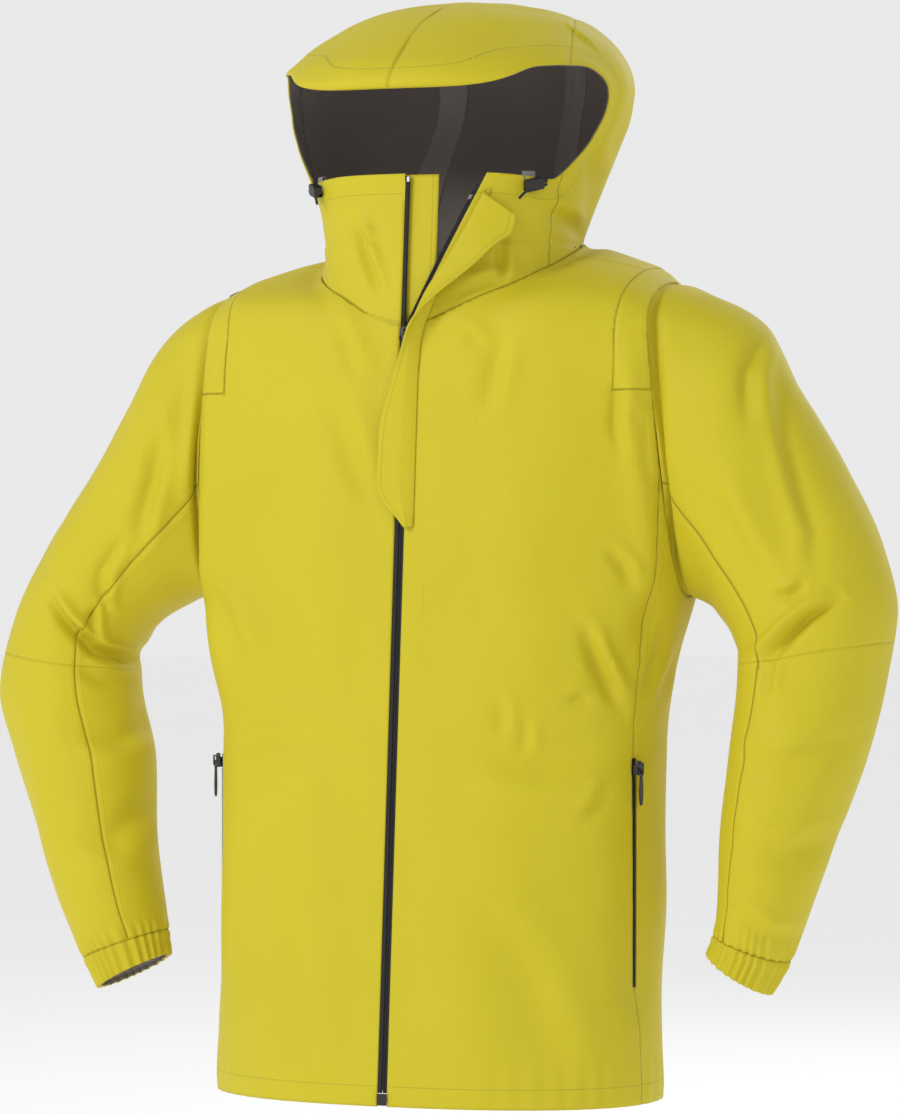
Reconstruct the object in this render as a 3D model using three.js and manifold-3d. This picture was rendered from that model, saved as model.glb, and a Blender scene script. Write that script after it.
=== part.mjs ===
// A hooded hardshell jacket, as an assembly of sewn panels, zips, cord locks and trims.
// Units are millimetres. +Z is up, -Y is the front and +X is the wearer's left.
// Inside the jacket group heights are measured from the hem and depths from the middle of the
// body; the group is then shifted so that the origin is the bearing face of the hang loop.
import * as THREE from 'three';
import { LoftGeometry } from 'three/addons/geometries/LoftGeometry.js';
import { mergeVertices } from 'three/addons/utils/BufferGeometryUtils.js';
import Module from 'manifold-3d';

const wasm = await Module();
wasm.setup();

// ---------------------------------------------------------------- driving dimensions

const WALL = 1.6;           // outer fabric, as modelled
const GAP = 0.5;            // kept between pieces that meet
const TAPE = 0.8;           // zip tape and seam tape thickness
const FACING = 1.0;         // hem, face and flap facings
const TAPE_INSET = WALL + GAP;
const FACING_INSET = TAPE_INSET + TAPE + 2.5 * GAP;

const ZIP_FOOT_Y = -133;    // depth of the zip at the hem
const ZIP_LEAN = 0.08;      // how far the zip leans back for each millimetre of height
const ZIP_SLOT = 4.5;       // from the zip's middle to the edge of each front panel
const ZIP_FORK = 700;       // height where the two rows of the zip part
const ZIP_FOOT = 12;        // height of the zip's lower end
const COIL_HALF = 2.8;      // width of one row of the coil

const FACE_GAP = -22;       // the facing of the face opening stops this far short of the zip
const COLLAR_TOP = 837;     // height of the collar's upper edge
const LAPEL_TOP = { x: 58, z: 822 };  // where the wearer's left zip edge ends
const SEAM_SIDE_FRONT = -30;  // depth of the seam between front and side panel
const SEAM_SIDE_BACK = 75;    // depth of the seam between side panel and back
const SEAM_ARMPIT = 450;      // height where the side panel ends
const SEAM_SHOULDER_X = 190;  // the shoulder panel starts this far out
const SEAM_SHOULDER_Z = 640;  // and this high
const SEAM_SHOULDER_Y = 30;   // depth of the seam along the top of the shoulder
const HEM_DEPTH = 38;         // height of the hem's facing

const POCKET_FOOT = 105;      // lower end of the hand pocket's zip
const POCKET_LENGTH = 205;
const POCKET_BAG = { front: 62, below: 45, above: 20 };

const LOOP = { width: 44, height: 24, strap: 14, thick: 1.6, z: 752, pad: { width: 34, depth: 10, thick: 0.8 } };

// The armhole lies in one plane on each side: its lower end, and how far it tilts outward.
const ARMPIT = { x: 236, z: 455 };
const SHOULDER = { x: 212.5, z: 741 };

// Body: height, half width, back depth, and the front depth where it isn't the zip's line.
const TORSO = [
  { z: 0, a: 213, back: 130 },
  { z: 90, a: 211, back: 128 },
  { z: 325, a: 211, back: 131 },
  { z: 400, a: 222, back: 140 },
  { z: 460, a: 237, back: 148 },
  { z: 540, a: 250, back: 155 },
  { z: 620, a: 260, back: 158 },
  { z: 670, a: 262, back: 157 },
  { z: 700, a: 256, back: 154 },
  { z: 720, a: 244, back: 151, front: -66 },
  { z: 736, a: 220, back: 147, front: -42 },
  { z: 750, a: 186, back: 142, front: -10 },
  { z: 763, a: 145, back: 137, front: 25 },
  { z: 774, a: 95, back: 130, front: 60 },
];

// Collar and hood, in the same terms.
const HOOD = [
  { z: 690, a: 113, back: 128 },
  { z: 720, a: 112, back: 131 },
  { z: 745, a: 112, back: 135 },
  { z: 770, a: 115, back: 142 },
  { z: 800, a: 122, back: 150 },
  { z: 837, a: 134, back: 160 },
  { z: 870, a: 148, back: 170, front: -90 },
  { z: 895, a: 156, back: 176, front: -118 },
  { z: 915, a: 158, back: 178, front: -140 },
  { z: 930, a: 154, back: 177, front: -132 },
  { z: 947, a: 143, back: 173, front: -112 },
  { z: 964, a: 127, back: 165, front: -85 },
  { z: 981, a: 104, back: 150, front: -50 },
  { z: 993, a: 71, back: 128, front: -10 },
  { z: 999, a: 30, back: 85, front: 30 },
];

// Sleeve, from armhole to cuff: the outer and inner points of each ring, its middle depth and
// its half depth. The last two rows bound the elasticated cuff.
const SLEEVE = [
  { outer: [SHOULDER.x, SHOULDER.z], inner: [ARMPIT.x, ARMPIT.z], y: 40, half: 82 },
  { outer: [277, 707], inner: [255, 450], y: 40, half: 85 },
  { outer: [322, 641], inner: [272, 438], y: 38, half: 84 },
  { outer: [367, 572], inner: [287, 426], y: 34, half: 81 },
  { outer: [408, 503], inner: [298, 412], y: 29, half: 77 },
  { outer: [432, 439], inner: [305, 400], y: 24, half: 74 },
  { outer: [436, 372], inner: [301, 367], y: 18, half: 71 },
  { outer: [419, 307], inner: [291, 303], y: 10, half: 68 },
  { outer: [392, 235], inner: [287, 235], y: 0, half: 60 },
  { outer: [370, 167], inner: [279, 169], y: -8, half: 49 },
  { outer: [349, 117], inner: [274, 146], y: -12, half: 41 },
  { outer: [335, 91], inner: [270, 128], y: -14, half: 37 },
];
const SLEEVE_SEAMS = { front: 120, back: 230 };  // degrees round from the outer edge

const RING_POINTS = 24;
const SLEEVE_POINTS = 18;
const ROUNDNESS = 2.3;      // exponent of the rings: 2 is an ellipse, more is squarer
const FAR = 1200;           // larger than the jacket, for cutting

// ---------------------------------------------------------------- solids and cuts

/** A closed geometry as a solid that can be joined and cut. */
function solid(geometry) {
  const bare = new THREE.BufferGeometry();
  bare.setAttribute('position', geometry.getAttribute('position'));
  bare.setIndex(geometry.index);
  const merged = mergeVertices(bare, 1e-3);
  return new wasm.Manifold(new wasm.Mesh({
    numProp: 3,
    vertProperties: merged.attributes.position.array,
    triVerts: new Uint32Array(merged.index.array),
  }));
}

/** A solid's surface as a geometry again. */
function geometryOf(body) {
  const mesh = body.getMesh();
  const points = new Float32Array(mesh.numVert * 3);
  for (let i = 0; i < mesh.numVert; i++) {
    points.set(mesh.vertProperties.subarray(i * mesh.numProp, i * mesh.numProp + 3), i * 3);
  }
  const geometry = new THREE.BufferGeometry();
  geometry.setAttribute('position', new THREE.BufferAttribute(points, 3));
  geometry.setIndex(new THREE.BufferAttribute(mesh.triVerts, 1));
  geometry.computeVertexNormals();
  return geometry;
}

/** A box between two corners. */
function block(low, high) {
  const size = high.map((value, k) => value - low[k]);
  const geometry = new THREE.BoxGeometry(...size);
  geometry.translate(...low.map((value, k) => value + size[k] / 2));
  return solid(geometry);
}

/** Everything further along normal than the given point. */
function beyond(point, normal) {
  const geometry = new THREE.BoxGeometry(2 * FAR, 2 * FAR, 2 * FAR);
  geometry.translate(0, 0, FAR);
  const turn = new THREE.Quaternion().setFromUnitVectors(
    new THREE.Vector3(0, 0, 1), new THREE.Vector3(...normal).normalize());
  geometry.applyQuaternion(turn);
  geometry.translate(...point);
  return solid(geometry);
}

const above = (z) => beyond([0, 0, z], [0, 0, 1]);
const below = (z) => beyond([0, 0, z], [0, 0, -1]);
const ahead = (y) => beyond([0, y, 0], [0, -1, 0]);
const behind = (y) => beyond([0, y, 0], [0, 1, 0]);
const leftOf = (x) => beyond([x, 0, 0], [1, 0, 0]);
const rightOf = (x) => beyond([x, 0, 0], [-1, 0, 0]);

/** The largest connected body of a solid, without the crumbs a cut may leave. */
function largest(body) {
  return body.decompose().sort((one, two) => two.volume() - one.volume())[0];
}

// ---------------------------------------------------------------- forms

const zipY = (z) => ZIP_FOOT_Y + ZIP_LEAN * z;
const mix = (from, to, share) => from + (to - from) * share;

/** A row of a form's table with its front depth filled in. */
function completed(row) {
  return { ...row, front: row.front ?? zipY(row.z) };
}

/** The rows of a form moved inwards along the surface, by inset. */
function insetRows(table, inset) {
  const rows = table.map(completed);
  return rows.map((row, i) => {
    const lower = rows[Math.max(i - 1, 0)];
    const upper = rows[Math.min(i + 1, rows.length - 1)];
    const slope = new THREE.Vector2(upper.z - lower.z, lower.a - upper.a).normalize();
    const sideways = Math.max(slope.x, 0.3);
    return {
      z: row.z - inset * slope.y,
      a: row.a - inset * sideways,
      front: row.front + inset * sideways,
      back: row.back - inset * sideways,
    };
  });
}

/** One horizontal ring, from the front middle round to the wearer's left. */
function ring(row) {
  const middle = (row.front + row.back) / 2;
  const depth = (row.back - row.front) / 2;
  const power = 2 / ROUNDNESS;
  return Array.from({ length: RING_POINTS }, (_, i) => {
    const angle = (i / RING_POINTS) * 2 * Math.PI - Math.PI / 2;
    const across = Math.cos(angle);
    const along = Math.sin(angle);
    return new THREE.Vector3(
      row.a * Math.sign(across) * Math.abs(across) ** power,
      middle + depth * Math.sign(along) * Math.abs(along) ** power,
      row.z);
  });
}

/** A form as a full body, inset from its outer surface. A negative foot opens a shell below. */
function form(table, inset = 0, foot = 0) {
  const rows = insetRows(table, inset);
  const start = foot ? [{ ...rows[0], z: rows[0].z + foot }] : [];
  const sections = [...start, ...rows].map(ring);
  return solid(new LoftGeometry(sections, { capStart: true, capEnd: true }));
}

/** The layer of a form between two insets. */
function layer(table, near, far) {
  return form(table, near).subtract(form(table, far, -20));
}

/** A form's ring at any height. */
function ringAt(table, z) {
  const rows = table.map(completed);
  const i = Math.max(1, rows.findIndex((row) => row.z >= z));
  const share = (z - rows[i - 1].z) / (rows[i].z - rows[i - 1].z);
  const upper = ring(rows[i]);
  return ring(rows[i - 1]).map((point, k) => point.lerp(upper[k], share));
}

/** Depth of a form's front surface at a point seen from the front. */
function frontSurface(table, x, z) {
  const points = ringAt(table, z);
  const k = points.findIndex((point) => point.x > Math.abs(x));
  return mix(points[k - 1].y, points[k].y, (Math.abs(x) - points[k - 1].x) / (points[k].x - points[k - 1].x));
}

/** Where a form's side is at a depth and height, and the direction it faces. */
function sideSurface(table, y, z) {
  const points = ringAt(table, z);
  const k = points.findIndex((point) => point.y > y);
  const facing = Math.atan2(points[k - 1].x - points[k].x, points[k].y - points[k - 1].y);
  return { x: mix(points[k - 1].x, points[k].x, (y - points[k - 1].y) / (points[k].y - points[k - 1].y)), facing };
}

/** A ribbon of horizontal sections, each a list of [x, y] corners at a height. */
function ribbon(sections) {
  const rings = sections.map(({ z, corners }) => corners.map(([x, y]) => new THREE.Vector3(x, y, z)));
  return new LoftGeometry(rings, { capStart: true, capEnd: true });
}

/** A prism whose outline is drawn in the side view, as [depth, height], right across the body. */
function sidePrism(outline, halfWidth = FAR) {
  const shape = new THREE.Shape(outline.map(([y, z]) => new THREE.Vector2(y, z)));
  const geometry = new THREE.ExtrudeGeometry(shape, { depth: 2 * halfWidth, bevelEnabled: false });
  geometry.rotateY(Math.PI / 2);
  geometry.rotateX(Math.PI / 2);
  geometry.translate(-halfWidth, 0, 0);
  return solid(geometry);
}

// ---------------------------------------------------------------- shared cutters

const armholeNormal = new THREE.Vector3(SHOULDER.z - ARMPIT.z, 0, ARMPIT.x - SHOULDER.x).normalize();
const pastArmhole = beyond(
  [ARMPIT.x - GAP / 2, 0, ARMPIT.z], armholeNormal.toArray());
const mirrored = (body) => {
  const geometry = geometryOf(body);
  geometry.scale(-1, 1, 1);
  const order = geometry.index.array;
  for (let i = 0; i < order.length; i += 3) [order[i], order[i + 1]] = [order[i + 1], order[i]];
  return solid(geometry);
};

/** The face opening, seen from the side, grown by a margin all round. */
function faceCutter(margin = 0) {
  const m = margin;
  return sidePrism([
    [-FAR, COLLAR_TOP - m], [-15, COLLAR_TOP - 5 - m], [2 + m, 848 - m / 2], [9 + m, 872],
    [8 + m, 895], [-6 + m, 919 + m / 2], [-38, 931 + m], [-85, 928 + m], [-135, 908 + m],
    [-FAR, 905 + m],
  ]);
}

/** Everything on the zip side of the wearer's left collar edge, moved by an offset. */
function lapelCutter(offset) {
  const rise = LAPEL_TOP.z - ZIP_FORK;
  const edge = beyond([offset, 0, ZIP_FORK], [-rise, 0, LAPEL_TOP.x]);
  const reach = block([FACE_GAP, -FAR, ZIP_FORK - 40], [150, 0, COLLAR_TOP + 40]);
  return edge.intersect(reach);
}

const torsoBody = form(TORSO);
const neckColumn = form(HOOD, -GAP, -40);
const torsoShell = torsoBody
  .subtract(form(TORSO, WALL, -20))
  .subtract(neckColumn)
  .subtract(pastArmhole)
  .subtract(mirrored(pastArmhole));
const hoodShell = form(HOOD)
  .subtract(form(HOOD, WALL, -20))
  .subtract(form(TORSO, -GAP, -20))
  .subtract(faceCutter());

// ---------------------------------------------------------------- body panels

const zipSlot = block([-ZIP_SLOT, -FAR, -10], [ZIP_SLOT, 0, COLLAR_TOP + 200]);
const pocketSlot = block(
  [0, SEAM_SIDE_FRONT - ZIP_SLOT, POCKET_FOOT],
  [FAR, SEAM_SIDE_FRONT + ZIP_SLOT, POCKET_FOOT + POCKET_LENGTH]);
const shoulderRegion = (trim) => leftOf(SEAM_SHOULDER_X - trim).intersect(above(SEAM_SHOULDER_Z - trim));

function frontPanel() {
  const lower = ahead(SEAM_SIDE_FRONT - GAP / 2).intersect(below(SEAM_ARMPIT + 1));
  const upper = ahead(SEAM_SHOULDER_Y - GAP / 2).intersect(above(SEAM_ARMPIT));
  return largest(torsoShell.intersect(leftOf(0)).intersect(lower.add(upper))
    .subtract(zipSlot).subtract(pocketSlot).subtract(shoulderRegion(GAP / 2)));
}

function sidePanel() {
  return largest(torsoShell.intersect(leftOf(0))
    .intersect(behind(SEAM_SIDE_FRONT + GAP / 2)).intersect(ahead(SEAM_SIDE_BACK - GAP / 2))
    .intersect(below(SEAM_ARMPIT - GAP)).subtract(pocketSlot));
}

function backPanel() {
  const lower = behind(SEAM_SIDE_BACK + GAP / 2).intersect(below(SEAM_ARMPIT + 1));
  const upper = behind(SEAM_SHOULDER_Y + GAP / 2).intersect(above(SEAM_ARMPIT));
  return largest(torsoShell.intersect(lower.add(upper))
    .subtract(shoulderRegion(GAP / 2)).subtract(mirrored(shoulderRegion(GAP / 2))));
}

function shoulderPanel() {
  return largest(torsoShell.intersect(shoulderRegion(-GAP / 2)));
}

function hemFacing() {
  const slot = block([-30, -FAR, -10], [30, 0, HEM_DEPTH + 10]);
  return largest(layer(TORSO, TAPE_INSET, TAPE_INSET + FACING).intersect(below(HEM_DEPTH)).subtract(slot));
}

function pocketBag() {
  const near = TAPE_INSET + TAPE + GAP;
  return largest(layer(TORSO, near, near + FACING).intersect(block(
    [POCKET_BAG.front, -FAR, POCKET_FOOT - POCKET_BAG.below],
    [FAR, SEAM_SIDE_FRONT + 12, POCKET_FOOT + POCKET_LENGTH + POCKET_BAG.above])));
}

// ---------------------------------------------------------------- hood panels

const crownSeam = { rear: [60, 175], front: [140, -60] };  // [x, y] on the centre panel's seam
const crownNormal = [crownSeam.rear[1] - crownSeam.front[1], crownSeam.front[0] - crownSeam.rear[0], 0];
const outsideCrown = (offset) => beyond([crownSeam.rear[0] + offset, crownSeam.rear[1], 0], crownNormal);
const crownReach = () => behind(40).add(above(870));
const collarReach = (trim) => ahead(-5 + trim).intersect(below(855 + trim));

function hoodCentre() {
  const outside = outsideCrown(-GAP / 2);
  return largest(hoodShell.intersect(crownReach()).subtract(outside).subtract(mirrored(outside)));
}

function hoodSide() {
  const crown = crownReach().subtract(outsideCrown(GAP / 2));
  return largest(hoodShell.intersect(leftOf(0)).subtract(crown).subtract(collarReach(GAP / 2)));
}

/** The straight collar front; the wearer's left one is cut back along the parted zip. */
function collarFront(cut) {
  return largest(hoodShell.intersect(leftOf(0)).intersect(collarReach(-GAP / 2)).subtract(cut));
}

function faceFacing() {
  const band = faceCutter(22).subtract(faceCutter());
  const zipGap = block([FACE_GAP, -FAR, 600], [60, -30, COLLAR_TOP + 20]);
  return largest(layer(HOOD, FACING_INSET, FACING_INSET + FACING)
    .intersect(band).subtract(zipGap).subtract(lapelCutter(24)).subtract(form(TORSO, -GAP, -20)));
}

function brimStiffener() {
  return largest(layer(HOOD, TAPE_INSET, TAPE_INSET + TAPE)
    .intersect(ahead(-80)).intersect(above(912)).intersect(below(938)).subtract(faceCutter(3)));
}

function crownTape() {
  const slab = outsideCrown(-11).subtract(outsideCrown(11));
  return largest(layer(HOOD, TAPE_INSET, TAPE_INSET + TAPE / 2)
    .intersect(slab).intersect(behind(40).add(above(945))).intersect(behind(-60))
    .subtract(form(TORSO, -GAP, -20)));
}

// ---------------------------------------------------------------- sleeves

/** One sleeve ring, inset, from the outer edge towards the front. */
function sleeveRing(row, inset, from = 0, to = 360, count = SLEEVE_POINTS) {
  const outer = new THREE.Vector3(row.outer[0], row.y, row.outer[1]);
  const inner = new THREE.Vector3(row.inner[0], row.y, row.inner[1]);
  const centre = outer.clone().add(inner).multiplyScalar(0.5);
  const across = outer.sub(centre);
  across.setLength(across.length() - inset);
  return Array.from({ length: count }, (_, i) => {
    const angle = THREE.MathUtils.degToRad(mix(from, to, i / (to - from === 360 ? count : count - 1)));
    return centre.clone()
      .addScaledVector(across, Math.cos(angle))
      .add(new THREE.Vector3(0, -(row.half - inset) * Math.sin(angle), 0));
  });
}

/** A row between two sleeve rows. */
function rowBetween(one, two, share) {
  const pair = (key) => one[key].map((value, k) => mix(value, two[key][k], share));
  return { outer: pair('outer'), inner: pair('inner'), y: mix(one.y, two.y, share), half: mix(one.half, two.half, share) };
}

const lastRow = SLEEVE.length - 1;
const armholeRow = {
  ...SLEEVE[0],
  outer: [SHOULDER.x + GAP / 2, SHOULDER.z],
  inner: [ARMPIT.x + GAP / 2, ARMPIT.z],
};
const sleeveRows = [armholeRow, ...SLEEVE.slice(1, lastRow)];
const cuffRows = [rowBetween(SLEEVE[lastRow - 1], SLEEVE[lastRow], 0.04), SLEEVE[lastRow]];

/** A sleeve panel between two seams: outer arc, then the inner arc back again. */
function sleevePanel(from, to, count) {
  const trim = 0.3;
  const sections = sleeveRows.map((row) => [
    ...sleeveRing(row, 0, from + trim, to - trim, count),
    ...sleeveRing(row, WALL, from + trim, to - trim, count).reverse(),
  ]);
  return new LoftGeometry(sections, { capStart: true, capEnd: true });
}

/** A closed band round the cuff between two insets, over a share of the cuff's height. */
function cuffBand(near, far, start, end) {
  const rows = [rowBetween(...cuffRows, start), rowBetween(...cuffRows, end)];
  const past = [rowBetween(...cuffRows, start - 0.5), rowBetween(...cuffRows, end + 0.5)];
  const full = new LoftGeometry(rows.map((row) => sleeveRing(row, near)), { capStart: true, capEnd: true });
  const hollow = new LoftGeometry(past.map((row) => sleeveRing(row, far)), { capStart: true, capEnd: true });
  return solid(full).subtract(solid(hollow));
}

// ---------------------------------------------------------------- front closure

/** The middle of the zip edge on the wearer's left, at a height. */
function lapelX(z) {
  return Math.max(0, ((z - ZIP_FORK) / (LAPEL_TOP.z - ZIP_FORK)) * LAPEL_TOP.x);
}

const closureTable = (z) => (z > ZIP_FORK + 6 ? HOOD : TORSO);
const closureY = (x, z) => frontSurface(closureTable(z), x, z);

/** A strip of the closure that follows the front, between two offsets from an edge line. */
function closureStrip(heights, edge, from, to, near, far) {
  return ribbon(heights.map((z) => {
    const [one, two] = [edge(z) + from, edge(z) + to];
    return {
      z,
      corners: [
        [one, closureY(one, z) + near], [two, closureY(two, z) + near],
        [two, closureY(two, z) + far], [one, closureY(one, z) + far],
      ],
    };
  }));
}

const straightEdge = () => 0;
const collarHeights = Array.from({ length: 13 }, (_, i) => ZIP_FORK + 9 * i);
const rightHeights = (drop) => [ZIP_FOOT, ...collarHeights, COLLAR_TOP - drop];
const leftHeights = (drop) => [ZIP_FOOT, ...collarHeights, LAPEL_TOP.z - drop];

/** The storm flap: where it is sewn on, and where its free edge stands, from the hem end up. */
const STORM_FLAP = [
  { z: 517, sewn: [14, -1], bend: [7, -8.6], edge: [3, -8.6] },
  { z: 556, sewn: [14, -1], bend: [6, -8.6], edge: [-27, -8.6] },
  { z: 640, sewn: [14, -1], bend: [6, -8.6], edge: [-23, -9] },
  { z: 672, sewn: [15, -1.2], bend: [7, -9], edge: [-8, -15] },
  { z: 700, sewn: [18, -1.5], bend: [12, -11], edge: [9, -22] },
  { z: 728, sewn: [34, -1.5], bend: [30, -9], edge: [38, -20] },
  { z: 744, sewn: [44, -1.5], bend: [40, -8], edge: [54, -18] },
  { z: 760, sewn: [54, -1.5], bend: [51, -7], edge: [70, -15] },
  { z: 778, sewn: [65, -1.5], bend: [62, -7], edge: [82, -13] },
  { z: 795, sewn: [76, -1.5], bend: [74, -6], edge: [92, -10] },
  { z: 818, sewn: [88, -1.5], bend: [87, -5], edge: [90, -6] },
];

/** A strip's section: a line of [x, y] points given a thickness on its left-hand side. */
function thickened(line, thickness) {
  const points = line.map((point) => new THREE.Vector2(...point));
  const sides = points.slice(1).map((point, i) => point.clone().sub(points[i]).normalize())
    .map((way) => new THREE.Vector2(-way.y, way.x));
  const moved = points.map((point, i) => {
    const [one, two] = [sides[Math.max(i - 1, 0)], sides[Math.min(i, sides.length - 1)]];
    return point.clone().addScaledVector(one.clone().add(two).normalize(), thickness);
  });
  return [...points, ...moved.reverse()].map((point) => point.toArray());
}

function stormFlap() {
  return ribbon(STORM_FLAP.map(({ z, sewn, bend, edge }) => {
    const depth = closureY(sewn[0], z);
    const line = [edge, bend, sewn].map(([x, out]) => [x, depth + out]);
    return { z, corners: thickened(line, FACING) };
  }));
}

// A zip's own frame: z along the zip, -y outwards, the fabric's outer face at y = 0.

const SLIDER = { length: 13, width: 2 * ZIP_SLOT - 0.6, plate: 2.2, lift: 0.8, skirt: 1.3, cheek: 0.9 };
const BRIDGE = { length: 9, height: 3.6, wire: 1.2, width: 2.2 };
const PULL = { ring: 3.4, wire: 0.8, grip: 5.6, length: 30, thick: 1.6 };
const RIDGE = -SLIDER.lift - SLIDER.plate;  // the slider's outer face

/** The slider: a plate over the coil with a cheek down each side, and the pull's bridge. */
function sliderGeometry() {
  const half = SLIDER.width / 2;
  const plate = new THREE.Shape();
  plate.moveTo(-half, -SLIDER.length / 2);
  plate.lineTo(half, -SLIDER.length / 2);
  plate.lineTo(half, SLIDER.length * 0.2);
  plate.quadraticCurveTo(half, SLIDER.length / 2, 0, SLIDER.length / 2);
  plate.quadraticCurveTo(-half, SLIDER.length / 2, -half, SLIDER.length * 0.2);
  const bar = new THREE.ExtrudeGeometry(plate, { depth: SLIDER.plate, bevelEnabled: false, curveSegments: 5 });
  bar.rotateX(Math.PI / 2);
  bar.translate(0, -SLIDER.lift, 0);
  const cheek = (side) => block(
    [Math.min(side * half, side * (half - SLIDER.cheek)), -SLIDER.lift - 0.2, -SLIDER.length / 2],
    [Math.max(side * half, side * (half - SLIDER.cheek)), SLIDER.skirt, SLIDER.length * 0.2]);
  const arch = block(
    [-BRIDGE.width / 2, RIDGE - BRIDGE.height, -BRIDGE.length / 2],
    [BRIDGE.width / 2, RIDGE + 0.2, BRIDGE.length / 2]);
  const eye = block(
    [-BRIDGE.width, RIDGE - BRIDGE.height + BRIDGE.wire, -BRIDGE.length / 2 + BRIDGE.wire],
    [BRIDGE.width, RIDGE, BRIDGE.length / 2 - BRIDGE.wire]);
  return geometryOf(solid(bar).add(cheek(1)).add(cheek(-1)).add(arch.subtract(eye)));
}

const PULL_DEPTH = RIDGE - (BRIDGE.height - BRIDGE.wire) / 2;
const PULL_HEIGHT = -BRIDGE.length / 2 + BRIDGE.wire / 2;  // the bridge leg that the ring goes round

/** The pull: a ring through the bridge and a moulded grip that hangs from it. */
function pullGeometry() {
  const ringGeometry = new THREE.TorusGeometry(PULL.ring, PULL.wire, 5, 12);
  ringGeometry.rotateX(Math.PI / 2);
  ringGeometry.translate(0, PULL_DEPTH, PULL_HEIGHT);
  const outline = new THREE.Shape();
  const half = PULL.grip / 2;
  outline.moveTo(-half * 0.55, -PULL.ring + 0.3);
  outline.lineTo(-half, -PULL.length * 0.55);
  outline.quadraticCurveTo(-half, -PULL.length, 0, -PULL.length);
  outline.quadraticCurveTo(half, -PULL.length, half, -PULL.length * 0.55);
  outline.lineTo(half * 0.55, -PULL.ring + 0.3);
  const grip = new THREE.ExtrudeGeometry(outline, { depth: PULL.thick, bevelEnabled: false, curveSegments: 4 });
  grip.rotateX(Math.PI / 2);
  grip.translate(0, PULL_DEPTH + PULL.thick / 2, PULL_HEIGHT);
  return geometryOf(solid(ringGeometry).add(solid(grip)));
}

/** A straight bar in a zip's frame, between two corners. */
function bar(low, high) {
  return geometryOf(block(low, high));
}

const coilDepth = [-0.4, TAPE_INSET - GAP / 2];

// ---------------------------------------------------------------- cord locks

// A cord lock's own frame: x along the lock towards its plunger, -y outwards, z up.
const LOCK = { length: 19, height: 11, depth: 8, bore: 5.4, boreDepth: 12, hole: 3.4 };
const LOCK_AT = { y: -30, z: 827, lift: 0.5, tilt: -14, flare: 9 };  // angles in degrees
const CORD = { diameter: 2.6, clearance: 0.35 };
const PLUNGER = { diameter: 4.8, proud: 4.2, travel: 3, inside: 5 };

/** The cord's route through the lock and out as a short tail, in the lock's frame. */
const CORD_ROUTE = [
  [12, -1.7, -2.2], [9, -1.9, -2.8], [5, -2.2, -3], [0, -2.4, -3], [-5, -2.4, -3.1], [-10, -2.6, -3.6],
  [-15, -3.4, -5.4], [-20, -3.8, -8.6],
];

function cordTube(diameter, sides, steps) {
  const curve = new THREE.CatmullRomCurve3(CORD_ROUTE.map((point) => new THREE.Vector3(...point)));
  const section = new THREE.Shape(Array.from({ length: sides }, (_, i) => new THREE.Vector2(
    (diameter / 2) * Math.cos((2 * Math.PI * i) / sides), (diameter / 2) * Math.sin((2 * Math.PI * i) / sides))));
  return new THREE.ExtrudeGeometry(section, { steps, bevelEnabled: false, extrudePath: curve });
}

/** A round bar along x in a lock's frame. */
function roundBar(diameter, from, to, sides = 12) {
  const geometry = new THREE.CylinderGeometry(diameter / 2, diameter / 2, to - from, sides);
  geometry.rotateZ(-Math.PI / 2);
  geometry.translate((from + to) / 2, 0, 0);
  geometry.translate(0, -LOCK_CENTRE, 1.2);
  return geometry;
}

const LOCK_CENTRE = LOCK.depth / 2 + 0.6;

function lockBody() {
  const outline = new THREE.Shape();
  const [half, top] = [LOCK.length / 2, LOCK.height / 2];
  outline.moveTo(-half, -top * 0.75);
  outline.lineTo(-half + 2, -top);
  outline.lineTo(half - 2, -top);
  outline.lineTo(half, -top * 0.7);
  outline.lineTo(half - 1.5, top * 0.9);
  outline.lineTo(half - 3.5, top);
  outline.lineTo(-half + 3, top);
  outline.lineTo(-half + 1, top * 0.75);
  const shell = new THREE.ExtrudeGeometry(outline, {
    depth: LOCK.depth - 2, bevelThickness: 1, bevelSize: 1, bevelOffset: -1, bevelSegments: 2,
  });
  shell.rotateX(Math.PI / 2);
  shell.translate(0, -0.6 - 1, 0);
  return solid(shell)
    .subtract(solid(roundBar(LOCK.bore, LOCK.length / 2 - LOCK.boreDepth, LOCK.length)))
    .subtract(solid(cordTube(CORD.diameter + 2 * CORD.clearance, 8, 14)));
}

function lockSpring() {
  const from = LOCK.length / 2 - LOCK.boreDepth + GAP;
  const to = LOCK.length / 2 - PLUNGER.inside - PLUNGER.travel;
  const turns = 3;
  const points = Array.from({ length: turns * 8 + 1 }, (_, i) => new THREE.Vector3(
    mix(from + 0.4, to - 0.4, i / (turns * 8)),
    -LOCK_CENTRE + 1.7 * Math.cos((i * Math.PI) / 4),
    1.2 + 1.7 * Math.sin((i * Math.PI) / 4)));
  const wire = new THREE.Shape([[-0.3, -0.3], [0.3, -0.3], [0.3, 0.3], [-0.3, 0.3]].map((p) => new THREE.Vector2(...p)));
  return new THREE.ExtrudeGeometry(wire, {
    steps: turns * 8, bevelEnabled: false, extrudePath: new THREE.CatmullRomCurve3(points),
  });
}

function lockPlunger() {
  return roundBar(PLUNGER.diameter, LOCK.length / 2 - PLUNGER.inside, LOCK.length / 2 + PLUNGER.proud);
}

/** The webbing tab that hooks over the collar's edge, cut clear of the collar in its place. */
function lockTab(lock) {
  const hook = block([-3.5, -2.2, LOCK.height / 2 + GAP], [3.5, 7.5, LOCK.height / 2 + 9]);
  const geometry = geometryOf(hook).applyMatrix4(lock.matrix);
  const edge = layer(HOOD, -GAP, FACING_INSET + FACING + GAP).subtract(faceCutter(-GAP));
  return largest(solid(geometry).subtract(edge));
}

// ---------------------------------------------------------------- hang loop

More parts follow.
